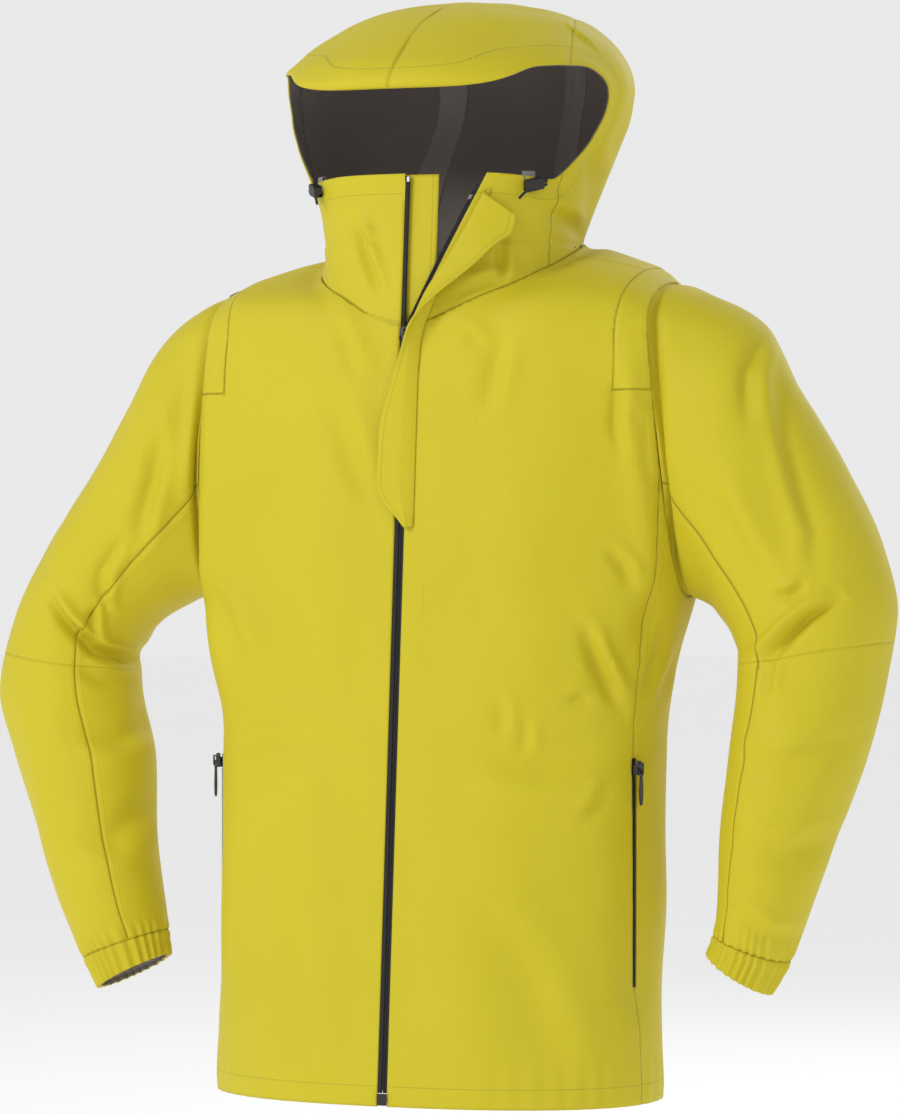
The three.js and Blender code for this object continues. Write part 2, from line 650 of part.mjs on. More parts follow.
const loopFront = completed(HOOD[2]).back - LOOP.strap;  // depth of the loop's front edge
const loopFace = LOOP.z + LOOP.height - LOOP.thick - LOOP.pad.thick;  // height of the face a peg bears on

/** A square loop of tape whose edge is sewn to the back of the neck, with a doubled top. */
function hangLoop() {
  const half = LOOP.width / 2;
  const top = LOOP.z + LOOP.height;
  const outside = block([-half, loopFront, LOOP.z], [half, loopFront + 60, top]);
  const inside = block(
    [-half + LOOP.thick, loopFront - 1, LOOP.z - 1],
    [half - LOOP.thick, loopFront + 61, top - LOOP.thick]);
  const pad = block(
    [-LOOP.pad.width / 2, loopFront, loopFace], [LOOP.pad.width / 2, loopFront + LOOP.pad.depth, top - LOOP.thick / 2]);
  return outside.subtract(inside).intersect(form(HOOD, TAPE_INSET)).add(pad);
}



// ---------------------------------------------------------------- assembly

const materials = {
  shell: new THREE.MeshStandardMaterial({ color: 0xd2c237, roughness: 0.6, metalness: 0 }),
  lining: new THREE.MeshStandardMaterial({ color: 0x38332f, roughness: 0.4, metalness: 0 }),
  black: new THREE.MeshStandardMaterial({ color: 0x16161a, roughness: 0.45, metalness: 0 }),
  webbing: new THREE.MeshStandardMaterial({ color: 0x857a74, roughness: 0.8, metalness: 0 }),
  metal: new THREE.MeshStandardMaterial({ color: 0xb8b8b8, roughness: 0.3, metalness: 1 }),
};

const jacket = new THREE.Group();

/** A named mesh in a group, from a geometry or a cut solid. */
function add(group, name, shape, material) {
  const geometry = shape.isBufferGeometry ? shape : geometryOf(shape);
  const mesh = new THREE.Mesh(geometry, material);
  mesh.name = name;
  group.add(mesh);
  return mesh;
}

/** The two sides of the jacket: the right one is the left one mirrored. */
const sides = ['left', 'right'].map((name) => {
  const group = new THREE.Group();
  group.scale.x = name === 'left' ? 1 : -1;
  jacket.add(group);
  return { name, group };
});

function addPanels() {
  const shapes = {
    front_panel: frontPanel(), side_panel: sidePanel(), shoulder_panel: shoulderPanel(), hood_side_panel: hoodSide(),
  };
  for (const { name, group } of sides) {
    for (const [piece, shape] of Object.entries(shapes)) add(group, `${piece}_${name}`, shape, materials.shell);
    add(group, `pocket_bag_${name}`, pocketBag(), materials.lining);
    add(group, `crown_seam_tape_${name}`, crownTape(), materials.lining);
    const cut = name === 'left' ? lapelCutter(ZIP_SLOT) : zipSlot;
    add(group, `collar_front_${name}`, collarFront(cut), materials.shell);
  }
  add(jacket, 'back_panel', backPanel(), materials.shell);
  add(jacket, 'hood_centre_panel', hoodCentre(), materials.shell);
  add(jacket, 'hem_facing', hemFacing(), materials.lining);
  add(jacket, 'face_facing', faceFacing(), materials.lining);
  add(jacket, 'brim_stiffener', brimStiffener(), materials.black);
  add(jacket, 'hang_loop', hangLoop(), materials.black);
}

function addSleeves() {
  const { front, back } = SLEEVE_SEAMS;
  for (const { name, group } of sides) {
    add(group, `sleeve_outer_${name}`, sleevePanel(back, front + 360, 13), materials.shell);
    add(group, `sleeve_under_${name}`, sleevePanel(front, back, 7), materials.shell);
    add(group, `cuff_band_${name}`, cuffBand(0, WALL, 0, 1), materials.shell);
    add(group, `cuff_elastic_${name}`, cuffBand(WALL + GAP, WALL + GAP + 1.2, 0.2, 0.9), materials.webbing);
  }
}

function addMainZip() {
  const strip = (name, heights, edge, width, depth, material) => add(
    jacket, name, closureStrip(heights, edge, ...width, ...depth), material);
  const tapeDepth = [TAPE_INSET + GAP / 2, TAPE_INSET + GAP / 2 + TAPE];
  strip('zip_tape_right', rightHeights(2), straightEdge, [-16, -0.3], tapeDepth, materials.black);
  strip('zip_tape_left', leftHeights(4), lapelX, [0.3, 16], tapeDepth, materials.black);
  strip('zip_coil_right', rightHeights(8), straightEdge, [-COIL_HALF, -0.2], coilDepth, materials.black);
  strip('zip_coil_left', leftHeights(10), lapelX, [0.2, COIL_HALF], coilDepth, materials.black);
  strip('inner_flap', rightHeights(1), straightEdge, [-20, 26], [FACING_INSET, FACING_INSET + FACING], materials.shell);
  const stopDepth = [coilDepth[0] - 0.5, coilDepth[1]];
  strip('top_stop_right', [COLLAR_TOP - 7.6, COLLAR_TOP - 3], straightEdge, [-COIL_HALF, -0.2], stopDepth, materials.metal);
  strip('top_stop_left', [LAPEL_TOP.z - 9.6, LAPEL_TOP.z - 5], lapelX, [0.2, COIL_HALF], stopDepth, materials.metal);
  add(jacket, 'storm_flap', stormFlap(), materials.shell);

  const zip = new THREE.Group();
  zip.position.set(0, ZIP_FOOT_Y, 0);
  zip.rotation.x = -Math.atan(ZIP_LEAN);
  jacket.add(zip);
  const runner = new THREE.Group();
  runner.position.z = ZIP_FORK - SLIDER.length / 2;
  zip.add(runner);
  add(runner, 'main_zip_slider', sliderGeometry(), materials.metal);
  add(runner, 'main_zip_pull', pullGeometry(), materials.black);
  add(zip, 'zip_retainer_box', bar([-4, -2, 1], [4, 2.4, ZIP_FOOT - GAP]), materials.black);
}

function addPocketZips() {
  const { x, facing } = sideSurface(TORSO, SEAM_SIDE_FRONT, POCKET_FOOT + POCKET_LENGTH / 2);
  const row = (near, far, half, margin) => largest(layer(TORSO, near, far).intersect(block(
    [0, SEAM_SIDE_FRONT - half, POCKET_FOOT - margin],
    [FAR, SEAM_SIDE_FRONT + half, POCKET_FOOT + POCKET_LENGTH + margin])));
  const tape = row(TAPE_INSET, TAPE_INSET + TAPE, 12, 4);
  const coil = row(0, TAPE_INSET - GAP / 2, COIL_HALF, -1);
  for (const { name, group } of sides) {
    add(group, `pocket_zip_tape_${name}`, tape, materials.black);
    add(group, `pocket_zip_coil_${name}`, coil, materials.black);
    const pocket = new THREE.Group();
    pocket.position.set(x, SEAM_SIDE_FRONT, POCKET_FOOT);
    pocket.rotation.z = Math.PI / 2 + facing;
    group.add(pocket);
    const runner = new THREE.Group();
    runner.position.z = POCKET_LENGTH - 2 - SLIDER.length / 2;
    pocket.add(runner);
    add(runner, `pocket_zip_slider_${name}`, sliderGeometry(), materials.metal);
    add(runner, `pocket_zip_pull_${name}`, pullGeometry(), materials.black);
  }
}

function addCordLocks() {
  const seat = sideSurface(HOOD, LOCK_AT.y, LOCK_AT.z);
  for (const { name, group } of sides) {
    const lock = new THREE.Group();
    lock.position.set(seat.x + LOCK_AT.lift, LOCK_AT.y - LOCK_AT.lift, LOCK_AT.z);
    lock.rotation.set(
      THREE.MathUtils.degToRad(LOCK_AT.flare), THREE.MathUtils.degToRad(LOCK_AT.tilt),
      Math.PI / 2 + seat.facing, 'ZYX');
    lock.updateMatrix();
    group.add(lock);
    add(lock, `cord_lock_body_${name}`, lockBody(), materials.black);
    add(lock, `cord_lock_plunger_${name}`, lockPlunger(), materials.black);
    add(lock, `cord_lock_spring_${name}`, lockSpring(), materials.metal);
    add(group, `cord_lock_tab_${name}`, lockTab(lock), materials.webbing);
    add(lock, `hood_cord_${name}`, cordTube(CORD.diameter, 8, 14), materials.black);
  }
}

addPanels();
addSleeves();
addMainZip();
addPocketZips();
addCordLocks();

// The origin is the middle of the face that a peg bears on, under the doubled top of the hang loop.
jacket.position.set(0, -loopFront - LOOP.pad.depth / 2, -loopFace);
const part = new THREE.Group();
part.add(jacket);

export default part;
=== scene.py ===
# %% [markdown]
# # A hooded hardshell jacket
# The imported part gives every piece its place. This script cuts each panel from a flat sheet of
# small squares, wraps it round the jacket, and adds folds, seams, zips and cloth finishes.

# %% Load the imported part
import math

import bmesh
import bpy
import numpy as np
from mathutils import Matrix, Vector


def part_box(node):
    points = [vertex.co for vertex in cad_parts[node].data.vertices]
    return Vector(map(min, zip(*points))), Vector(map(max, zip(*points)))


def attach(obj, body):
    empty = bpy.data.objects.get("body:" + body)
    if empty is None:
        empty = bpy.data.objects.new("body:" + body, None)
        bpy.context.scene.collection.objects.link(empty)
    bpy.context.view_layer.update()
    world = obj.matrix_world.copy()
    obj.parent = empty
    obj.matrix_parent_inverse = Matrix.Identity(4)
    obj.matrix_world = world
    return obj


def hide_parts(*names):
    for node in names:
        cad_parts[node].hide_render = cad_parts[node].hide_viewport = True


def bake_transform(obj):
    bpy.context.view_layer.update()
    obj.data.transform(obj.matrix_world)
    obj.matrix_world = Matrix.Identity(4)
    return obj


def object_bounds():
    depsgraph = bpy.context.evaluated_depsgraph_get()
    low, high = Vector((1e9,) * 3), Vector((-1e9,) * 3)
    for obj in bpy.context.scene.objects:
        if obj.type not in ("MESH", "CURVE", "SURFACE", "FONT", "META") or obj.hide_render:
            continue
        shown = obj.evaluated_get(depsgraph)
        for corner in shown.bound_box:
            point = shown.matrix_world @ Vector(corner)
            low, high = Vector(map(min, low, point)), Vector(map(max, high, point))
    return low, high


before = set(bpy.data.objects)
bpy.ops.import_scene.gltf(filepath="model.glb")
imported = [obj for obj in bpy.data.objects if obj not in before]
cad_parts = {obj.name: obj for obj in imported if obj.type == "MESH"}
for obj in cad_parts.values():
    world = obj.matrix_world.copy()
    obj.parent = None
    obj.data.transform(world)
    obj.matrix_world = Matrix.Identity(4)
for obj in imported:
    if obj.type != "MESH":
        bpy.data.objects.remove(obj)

cad_low, cad_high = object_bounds()
scene = bpy.context.scene
scene.view_settings.view_transform = "Standard"
print("packed part", tuple(cad_low), tuple(cad_high))

# %% [markdown]
# ## Where things are
# Shapes are worked out in millimetres from the hem and from the middle of the body, as a pattern
# cutter would. Two measured nodes give the shift from there to the part's own frame.


# %% Pattern millimetres to the part's frame
def middle(node):
    """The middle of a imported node's box."""
    low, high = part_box(node)
    return (low + high) / 2


POCKET_SEAM = -30.0
DEPTH = middle("pocket_zip_coil_left").y - POCKET_SEAM / 1000
HEM = cad_low.z
SHIFT = np.array([0.0, DEPTH, HEM])


def in_frame(points):
    """Pattern millimetres as metres in the part's frame."""
    return np.asarray(points, float) / 1000 + SHIFT


print("middle of the body", DEPTH, "hem", HEM)

# %% [markdown]
# ## Camera
# The jacket is seen from its front, turned a little to the wearer's left, through a long lens
# that keeps the hem and the hood nearly parallel. The camera stays level.

# %% Camera
TURN = math.radians(22.0)
DISTANCE, EYE = 4.5, 0.512
lens = bpy.data.cameras.new("camera")
lens.lens, lens.sensor_width, lens.sensor_fit = 158.6, 36.0, "AUTO"
lens.shift_x, lens.shift_y = 0.0113, -0.0218
lens.clip_end = 100
camera = bpy.data.objects.new("camera", lens)
scene.collection.objects.link(camera)
camera.location = (DISTANCE * math.sin(TURN), DEPTH - DISTANCE * math.cos(TURN), HEM + EYE)
camera.rotation_euler = (math.radians(90), 0, TURN)
scene.camera = camera
print("camera at", tuple(camera.location))

# %% [markdown]
# ## Finishes
# Each finish is a small tree of nodes. Sums between values are written as Python sums: a wrapper
# turns each one into a Math node. Every other node comes from one method.


# %% A value in a node tree, and a finish
class Value:
    """A node's output that can be used in sums."""

    def __init__(self, finish, socket):
        self.finish, self.socket = finish, socket

    def sum(self, operation, *others):
        inputs = {i: v for i, v in enumerate(others)}
        return self.finish.node("ShaderNodeMath", {"operation": operation}, inputs)

    def __add__(self, other):
        return self.sum("ADD", self, other)

    def __sub__(self, other):
        return self.sum("SUBTRACT", self, other)

    def __rsub__(self, other):
        return self.sum("SUBTRACT", other, self)

    def __mul__(self, other):
        return self.sum("MULTIPLY", self, other)

    __radd__, __rmul__ = __add__, __mul__


class Finish:
    """A material with one principled shader; its constants are set on the shader's own sockets."""

    def __init__(self, name, **constants):
        self.material = bpy.data.materials.new(name)
        self.material.use_nodes = True
        self.tree = self.material.node_tree
        self.shader = next(n for n in self.tree.nodes if n.type == "BSDF_PRINCIPLED")
        for key, value in constants.items():
            self.shader.inputs[key.replace("_", " ")].default_value = value

    def node(self, kind, settings={}, inputs={}, output=0):
        made = self.tree.nodes.new(kind)
        for key, value in settings.items():
            if key == "stops":
                ramp = made.color_ramp
                for stop, (place, colour) in zip(ramp.elements, value):
                    stop.position, stop.color = place, colour
            else:
                setattr(made, key, value)
        for key, value in inputs.items():
            self.feed(made.inputs[key], value)
        return Value(self, made.outputs[output])

    def feed(self, socket, value):
        if isinstance(value, Value):
            self.tree.links.new(value.socket, socket)
        else:
            socket.default_value = value

    def set(self, key, value):
        self.feed(self.shader.inputs[key], value)

    def place(self):
        return self.node("ShaderNodeTexCoord", output=3)

    def attribute(self, name):
        return self.node("ShaderNodeAttribute", {"attribute_name": name}, output=2)

    def noise(self, scale, detail=2, stretch=None):
        where = self.place()
        if stretch:
            where = self.node("ShaderNodeMapping", {}, {"Vector": where, "Scale": stretch})
        return self.node("ShaderNodeTexNoise", {}, {"Vector": where, "Scale": scale, "Detail": detail})

    def within(self, value, low, high):
        """1 where value is under low, falling to 0 at high."""
        return self.node("ShaderNodeMapRange", {"interpolation_type": "SMOOTHSTEP"},
                         {"Value": value, "From Min": low, "From Max": high, "To Min": 1.0, "To Max": 0.0})

    def blend(self, factor, one, two):
        made = self.tree.nodes.new("ShaderNodeMix")
        made.data_type = "RGBA"
        for index, value in ((0, factor), (6, one), (7, two)):
            self.feed(made.inputs[index], value)
        return Value(self, made.outputs[2])

    def bump(self, height, strength, distance=0.001, under=None):
        inputs = {"Height": height, "Strength": strength, "Distance": distance}
        if under:
            inputs["Normal"] = under
        return self.node("ShaderNodeBump", {}, inputs)


def linear(red, green, blue):
    """A colour given in 0 to 255 as light values."""
    values = [c / 255 for c in (red, green, blue)]
    return (*[c / 12.92 if c <= 0.04045 else ((c + 0.055) / 1.055) ** 2.4 for c in values], 1.0)


# %% [markdown]
# ### Shell cloth
# A three-layer face fabric: a fine plain weave, nearly matt with a soft sheen. Colour drifts a
# little over the panels, the pressed seams are darker lines with a welt beside them, and the
# stitched hems carry rows of short stitches.


# %% Shell cloth
def weave(finish, pitch):
    """Height of a plain weave with that many threads a metre, on the cloth's own map."""
    uv = finish.node("ShaderNodeUVMap", {"uv_map": "cloth"})
    inputs = {"Vector": uv, "Scale": pitch / 20, "Distortion": 0.0}
    threads = [finish.node("ShaderNodeTexWave", {"bands_direction": way}, inputs) for way in ("X", "Y")]
    return threads[0] * 0.5 + threads[1] * 0.5


def shell_cloth():
    cloth = Finish("shell_cloth", Roughness=0.62, Specular_IOR_Level=0.28, Sheen_Weight=0.03)
    drift = cloth.noise(5.0, 3)
    grain = cloth.noise(900.0, 2)
    seam = cloth.attribute("seam")
    stitch = cloth.attribute("stitch")
    run = cloth.attribute("run")
    line = cloth.within(seam, 0.25, 1.1)
    dash = cloth.within(run.sum("PINGPONG", run, 1.7), 1.15, 1.35)
    thread = cloth.within(stitch.sum("ABSOLUTE", stitch), 0.25, 0.6) * dash
    base = cloth.blend(drift, linear(215, 200, 38), linear(202, 187, 30))
    base = cloth.blend(grain * 0.16, base, linear(150, 138, 34))
    base = cloth.blend(line * 0.24, base, linear(110, 100, 30))
    base = cloth.blend(thread * 0.5, base, linear(150, 140, 40))
    cloth.set("Base Color", base)
    cloth.set("Roughness", drift * 0.12 + 0.54)
    welt = cloth.within(seam, 5.0, 7.0) * 0.35 - line * 0.6 - thread * 0.25
    crinkle = cloth.noise(55.0, 3) * 0.35
    soft = cloth.bump(welt + crinkle, 0.5, 0.0012)
    cloth.set("Normal", cloth.bump(weave(cloth, 1500), 0.10, 0.0004, soft))
    return cloth


def lining_cloth(name, colour, other, roughness=0.7):
    cloth = Finish(name, Roughness=roughness, Sheen_Weight=0.15)
    drift = cloth.noise(9.0, 3)
    cloth.set("Base Color", cloth.blend(drift, linear(*colour), linear(*other)))
    cloth.set("Roughness", drift * 0.15 + (roughness - 0.08))
    fine = cloth.bump(cloth.noise(60.0, 3), 0.35, 0.001)
    cloth.set("Normal", cloth.bump(cloth.noise(1400.0, 1, (1, 1, 0.35)), 0.25, 0.0004, fine))
    return cloth


SHELL = shell_cloth()
LINING = lining_cloth("lining", (142, 132, 126), (122, 113, 108))
SEAM_TAPE = lining_cloth("seam_tape", (158, 151, 145), (140, 133, 128), 0.42)
FACING = lining_cloth("grey_facing", (126, 119, 113), (108, 102, 97))
ZIP_TAPE = lining_cloth("zip_tape", (32, 32, 33), (24, 24, 25))
GREY_WEB = lining_cloth("grey_webbing", (150, 140, 134), (122, 114, 108))
print("cloth finishes made")

# %% [markdown]
# ### Hard finishes
# The coil, the cord locks and the retainer box are moulded plastic; the sliders, stops and
# springs are metal with fine scratches.


# %% Hard finishes
def hard(name, one, two, roughness, metal=0.0, grain=300.0):
    made = Finish(name, Roughness=roughness, Metallic=metal)
    wear = made.noise(45.0, 4)
    made.set("Base Color", made.blend(wear, linear(*one), linear(*two)))
    made.set("Roughness", wear * 0.2 + (roughness - 0.1))
    made.set("Normal", made.bump(made.noise(grain * 4, 2), 0.12, 0.0003))
    return made


COIL = hard("coil_plastic", (36, 36, 38), (22, 22, 24), 0.4)
PLASTIC = hard("lock_plastic", (24, 22, 20), (38, 36, 34), 0.45)
GUNMETAL = hard("gunmetal", (86, 84, 82), (58, 57, 56), 0.35, 1.0)
STEEL = hard("bright_steel", (190, 190, 188), (150, 150, 148), 0.3, 1.0)
CORD = lining_cloth("cord", (30, 28, 27), (20, 19, 18))
print("hard finishes made")

# %% [markdown]
# ## The jacket's forms
# The body, the hood and the sleeves are each a stack of rings. A smooth curve runs through the
# rings' sizes, so the surface has no corners where one ring passes to the next.

# %% Rings
ROUNDNESS = 2.3
ZIP_HALF, FORK, LAPEL = 4.5, 700.0, (58.0, 822.0)


def zip_depth(z):
    return -133 + 0.08 * z


BODY_ROWS = [
    (0, 213, 130), (90, 211, 128), (325, 211, 131), (400, 222, 140), (460, 237, 148), (540, 250, 155),
    (620, 260, 158), (670, 262, 157), (700, 256, 154), (720, 244, 151, -66), (736, 220, 147, -42),
    (750, 186, 142, -10), (763, 145, 137, 25), (774, 95, 130, 60),
]
HOOD_ROWS = [
    (690, 113, 128), (720, 112, 131), (745, 112, 135), (770, 115, 142), (800, 122, 150), (837, 134, 160),
    (870, 148, 170, -90), (895, 156, 176, -118), (915, 158, 178, -140), (930, 154, 177, -132),
    (947, 143, 173, -112), (964, 127, 165, -85), (981, 104, 150, -50), (993, 71, 128, -10),
    (999, 30, 85, 30), (1000.4, 1, 58.5, 56.5),
]


def filled(rows):
    return np.array([(*row[:3], row[3] if len(row) > 3 else zip_depth(row[0])) for row in rows], float)


def along(rows, share):
    """A smooth curve through the rows of a table that never swings past them, at shares of its length."""
    rows = np.asarray(rows, float)
    knots = np.concatenate([[0], np.cumsum(np.linalg.norm(np.diff(rows, axis=0), axis=1))])
    knots /= knots[-1]
    rises = np.diff(rows, axis=0) / np.diff(knots)[:, None]
    before, after = rises[:-1], rises[1:]
    turning = before * after <= 0
    inner = np.where(turning, 0, 2 * before * after / np.where(turning, 1, before + after))
    slopes = np.vstack([rises[:1], inner, rises[-1:]])
    share = np.clip(share, 0, 1)
    i = np.clip(np.searchsorted(knots, share, side="right") - 1, 0, len(rows) - 2)
    width = (knots[i + 1] - knots[i])[:, None]
    t = ((share - knots[i]) / width[:, 0])[:, None]
    return (
        (2 * t**3 - 3 * t**2 + 1) * rows[i] + (t**3 - 2 * t**2 + t) * width * slopes[i]
        + (3 * t**2 - 2 * t**3) * rows[i + 1] + (t**3 - t**2) * width * slopes[i + 1]
    )


def soft(value, low, high):
    """0 under low, 1 over high, smooth between."""
    t = np.clip((value - low) / (high - low), 0, 1)
    return t * t * (3 - 2 * t)


BODY, HOOD = filled(BODY_ROWS), filled(HOOD_ROWS)
PROFILES = {id(rows): along(rows, np.linspace(0, 1, 600)) for rows in (BODY, HOOD)}


def ring_point(rows, u, v):
    """A form's point a share u round from the front and a share v up."""
    z, a, back, front = along(rows, v).T
    angle = 2 * np.pi * u - np.pi / 2
    across, deep = np.cos(angle), np.sin(angle)
    power = 2 / ROUNDNESS
    x = a * np.sign(across) * np.abs(across) ** power
    y = (front + back) / 2 + (back - front) / 2 * np.sign(deep) * np.abs(deep) ** power
    return np.stack([x, y, z], 1)


def level(rows, p):
    """0 on a form's surface, negative inside."""
    profile = PROFILES[id(rows)]
    a, back, front = (np.interp(p[:, 2], profile[:, 0], profile[:, k]) for k in (1, 2, 3))
    middle_y, deep = (front + back) / 2, (back - front) / 2
    across, depth = np.abs(p[:, 0] / a), np.abs((p[:, 1] - middle_y) / deep)
    r = (across**ROUNDNESS + depth**ROUNDNESS) ** (1 / ROUNDNESS)
    return r - 1 + np.clip(p[:, 2] - profile[-1, 0], 0, None) / 60


def distance(rows, p):
    """About how far a point is outside a form."""
    steps = np.eye(3) * 0.6
    slope = np.stack([(level(rows, p + e) - level(rows, p - e)) / 1.2 for e in steps], 1)
    return level(rows, p) / np.maximum(np.linalg.norm(slope, axis=1), 1e-4)


def outward(surface, u, v):
    """Outward directions of a surface, from two short steps over it."""
    du = surface(u + 1e-3, v) - surface(u - 1e-3, v)
    v_low, v_high = np.clip(v - 1e-3, 0, 1), np.clip(v + 1e-3, 0, 1)
    n = np.cross(du, surface(u, v_high) - surface(u, v_low))
    return n / np.maximum(np.linalg.norm(n, axis=1), 1e-9)[:, None]


print("body and hood rings", len(BODY), len(HOOD))

# %% [markdown]
# ### Neck
# The hood grows out of the shoulders without a sharp corner. Both surfaces are moved outwards
# to one rounded union of the two forms, and each is cut where the other comes nearer.


# %% Rounded union of body and hood
NECK = 698.0


def union(p):
    body, hood = distance(BODY, p), np.maximum(distance(HOOD, p), NECK - p[:, 2])
    k = 4 + 16 * soft(np.abs(p[:, 0]), 18, 80)
    near = np.maximum(k - np.abs(body - hood), 0) / k
    return np.minimum(body, hood) - near**2 * k / 4, body, hood


def moved_out(rows, u, v):
    """Points moved out onto the union, their directions, and body minus hood distance."""
    start = ring_point(rows, u, v)
    way = outward(lambda a, b: ring_point(rows, a, b), u, v)
    step = np.zeros(len(start))
    for _ in range(5):
        here = union(start + way * step[:, None])[0]
        ahead = union(start + way * (step + 1)[:, None])[0]
        step = np.clip(step - here / np.maximum(ahead - here, 0.3), -1, 26)
    p = start + way * step[:, None]
    _, body, hood = union(p)
    return p, way, body - hood


KNOWN = []


def rounded(rows, u, v):
    """The same, worked out only for points that weren't asked for before."""
    for known in KNOWN:
        count = len(known[1])
        same = known[0] is rows and count <= len(u) and (u[:count] == known[1]).all()
        if same and (v[:count] == known[2]).all():
            found = known[3]
            if count < len(u):
                more = moved_out(rows, u[count:], v[count:])
                found = [np.concatenate(pair) for pair in zip(found, more)]
                known[1:] = [u, v, found]
            return [values.copy() for values in found]
    found = moved_out(rows, u, v)
    KNOWN.insert(0, [rows, u, v, found])
    del KNOWN[4:]
    return [values.copy() for values in found]


# %% [markdown]
# ### Sleeves
# Each sleeve's first ring is found on the body's own surface, in the plane of the armhole, so
# that the two meet. From there it passes to ellipses that bend at the elbow.

# %% Sleeve rings
ARMPIT, SHOULDER = np.array([236.0, 0, 455.0]), np.array([212.5, 0, 741.0])
ARMHOLE = np.array([SHOULDER[2] - ARMPIT[2], 0, ARMPIT[0] - SHOULDER[0]])
ARMHOLE = ARMHOLE / np.linalg.norm(ARMHOLE)
SLEEVES = {
    "left": [
        (212.5, 741, 236, 455, 40, 82), (285, 715, 253, 447, 40, 86), (331, 647, 266, 434, 38, 86),
        (374, 576, 276, 423, 34, 82), (411, 503, 283, 412, 29, 78), (427, 442, 288, 402, 24, 75),
        (419, 378, 289, 372, 18, 72), (401, 308, 283, 305, 10, 68), (376, 238, 279, 238, 0, 60),
        (353, 168, 275, 172, -8, 49), (340, 124, 270, 152, -12, 40), (328, 100, 265, 138, -14, 36),
    ],
    "right": [
        (212.5, 741, 236, 455, 40, 82), (275, 704, 256, 452, 40, 84), (318, 638, 278, 442, 38, 82),
        (359, 568, 297, 430, 34, 77), (404, 503, 313, 412, 29, 73), (436, 436, 321, 398, 24, 70),
        (450, 366, 314, 362, 18, 68), (433, 305, 295, 300, 10, 65), (403, 232, 288, 232, 0, 58),
        (377, 165, 276, 165, -8, 48), (351, 110, 271, 140, -12, 40), (335, 84, 267, 118, -14, 36),
    ],
}
SIGN = {"left": 1, "right": -1}


def armhole_reach(angle):
    """How far the body's surface is from the armhole's middle, at angles from its top to its front."""
    centre = (ARMPIT + SHOULDER) / 2 + (0, 40, 0)
    up = (SHOULDER - ARMPIT) / np.linalg.norm(SHOULDER - ARMPIT)
    ways = np.outer(np.cos(angle), up) + np.outer(np.sin(angle), (0, -1, 0))
    low, high = np.full(len(angle), 20.0), np.full(len(angle), 260.0)
    for _ in range(26):
        half = (low + high) / 2
        inside = level(BODY, centre + ways * half[:, None]) < 0
        low, high = np.where(inside, half, low), np.where(inside, high, half)
    return centre + ways * low[:, None]


def sleeve_point(side, u, v):
    """A sleeve's point a share u round from its outer edge, towards the front, and v down its length."""
    ox, oz, ix, iz, y, half = along(SLEEVES[side], v).T
    angle = 2 * np.pi * u
    outer, inner = np.stack([ox, y, oz], 1), np.stack([ix, y, iz], 1)
    oval = (outer + inner) / 2 + (outer - inner) / 2 * np.cos(angle)[:, None]
    oval[:, 1] -= half * np.sin(angle)
    hole = armhole_reach(angle)
    p = hole + (oval - hole) * soft(v, -0.02, 0.13)[:, None] * (v > 0)[:, None]
    return p * (SIGN[side], 1, 1)


print("sleeve rings", len(SLEEVES["left"]))

# %% [markdown]
# ## Folds
# Hardshell cloth is stiff: it makes a few long folds where it bends, with smooth cloth between.
# Each fold is a line on the view plane with a width and a depth, sunk along the line and raised
# beside it. Slow waves keep the rest from looking moulded.

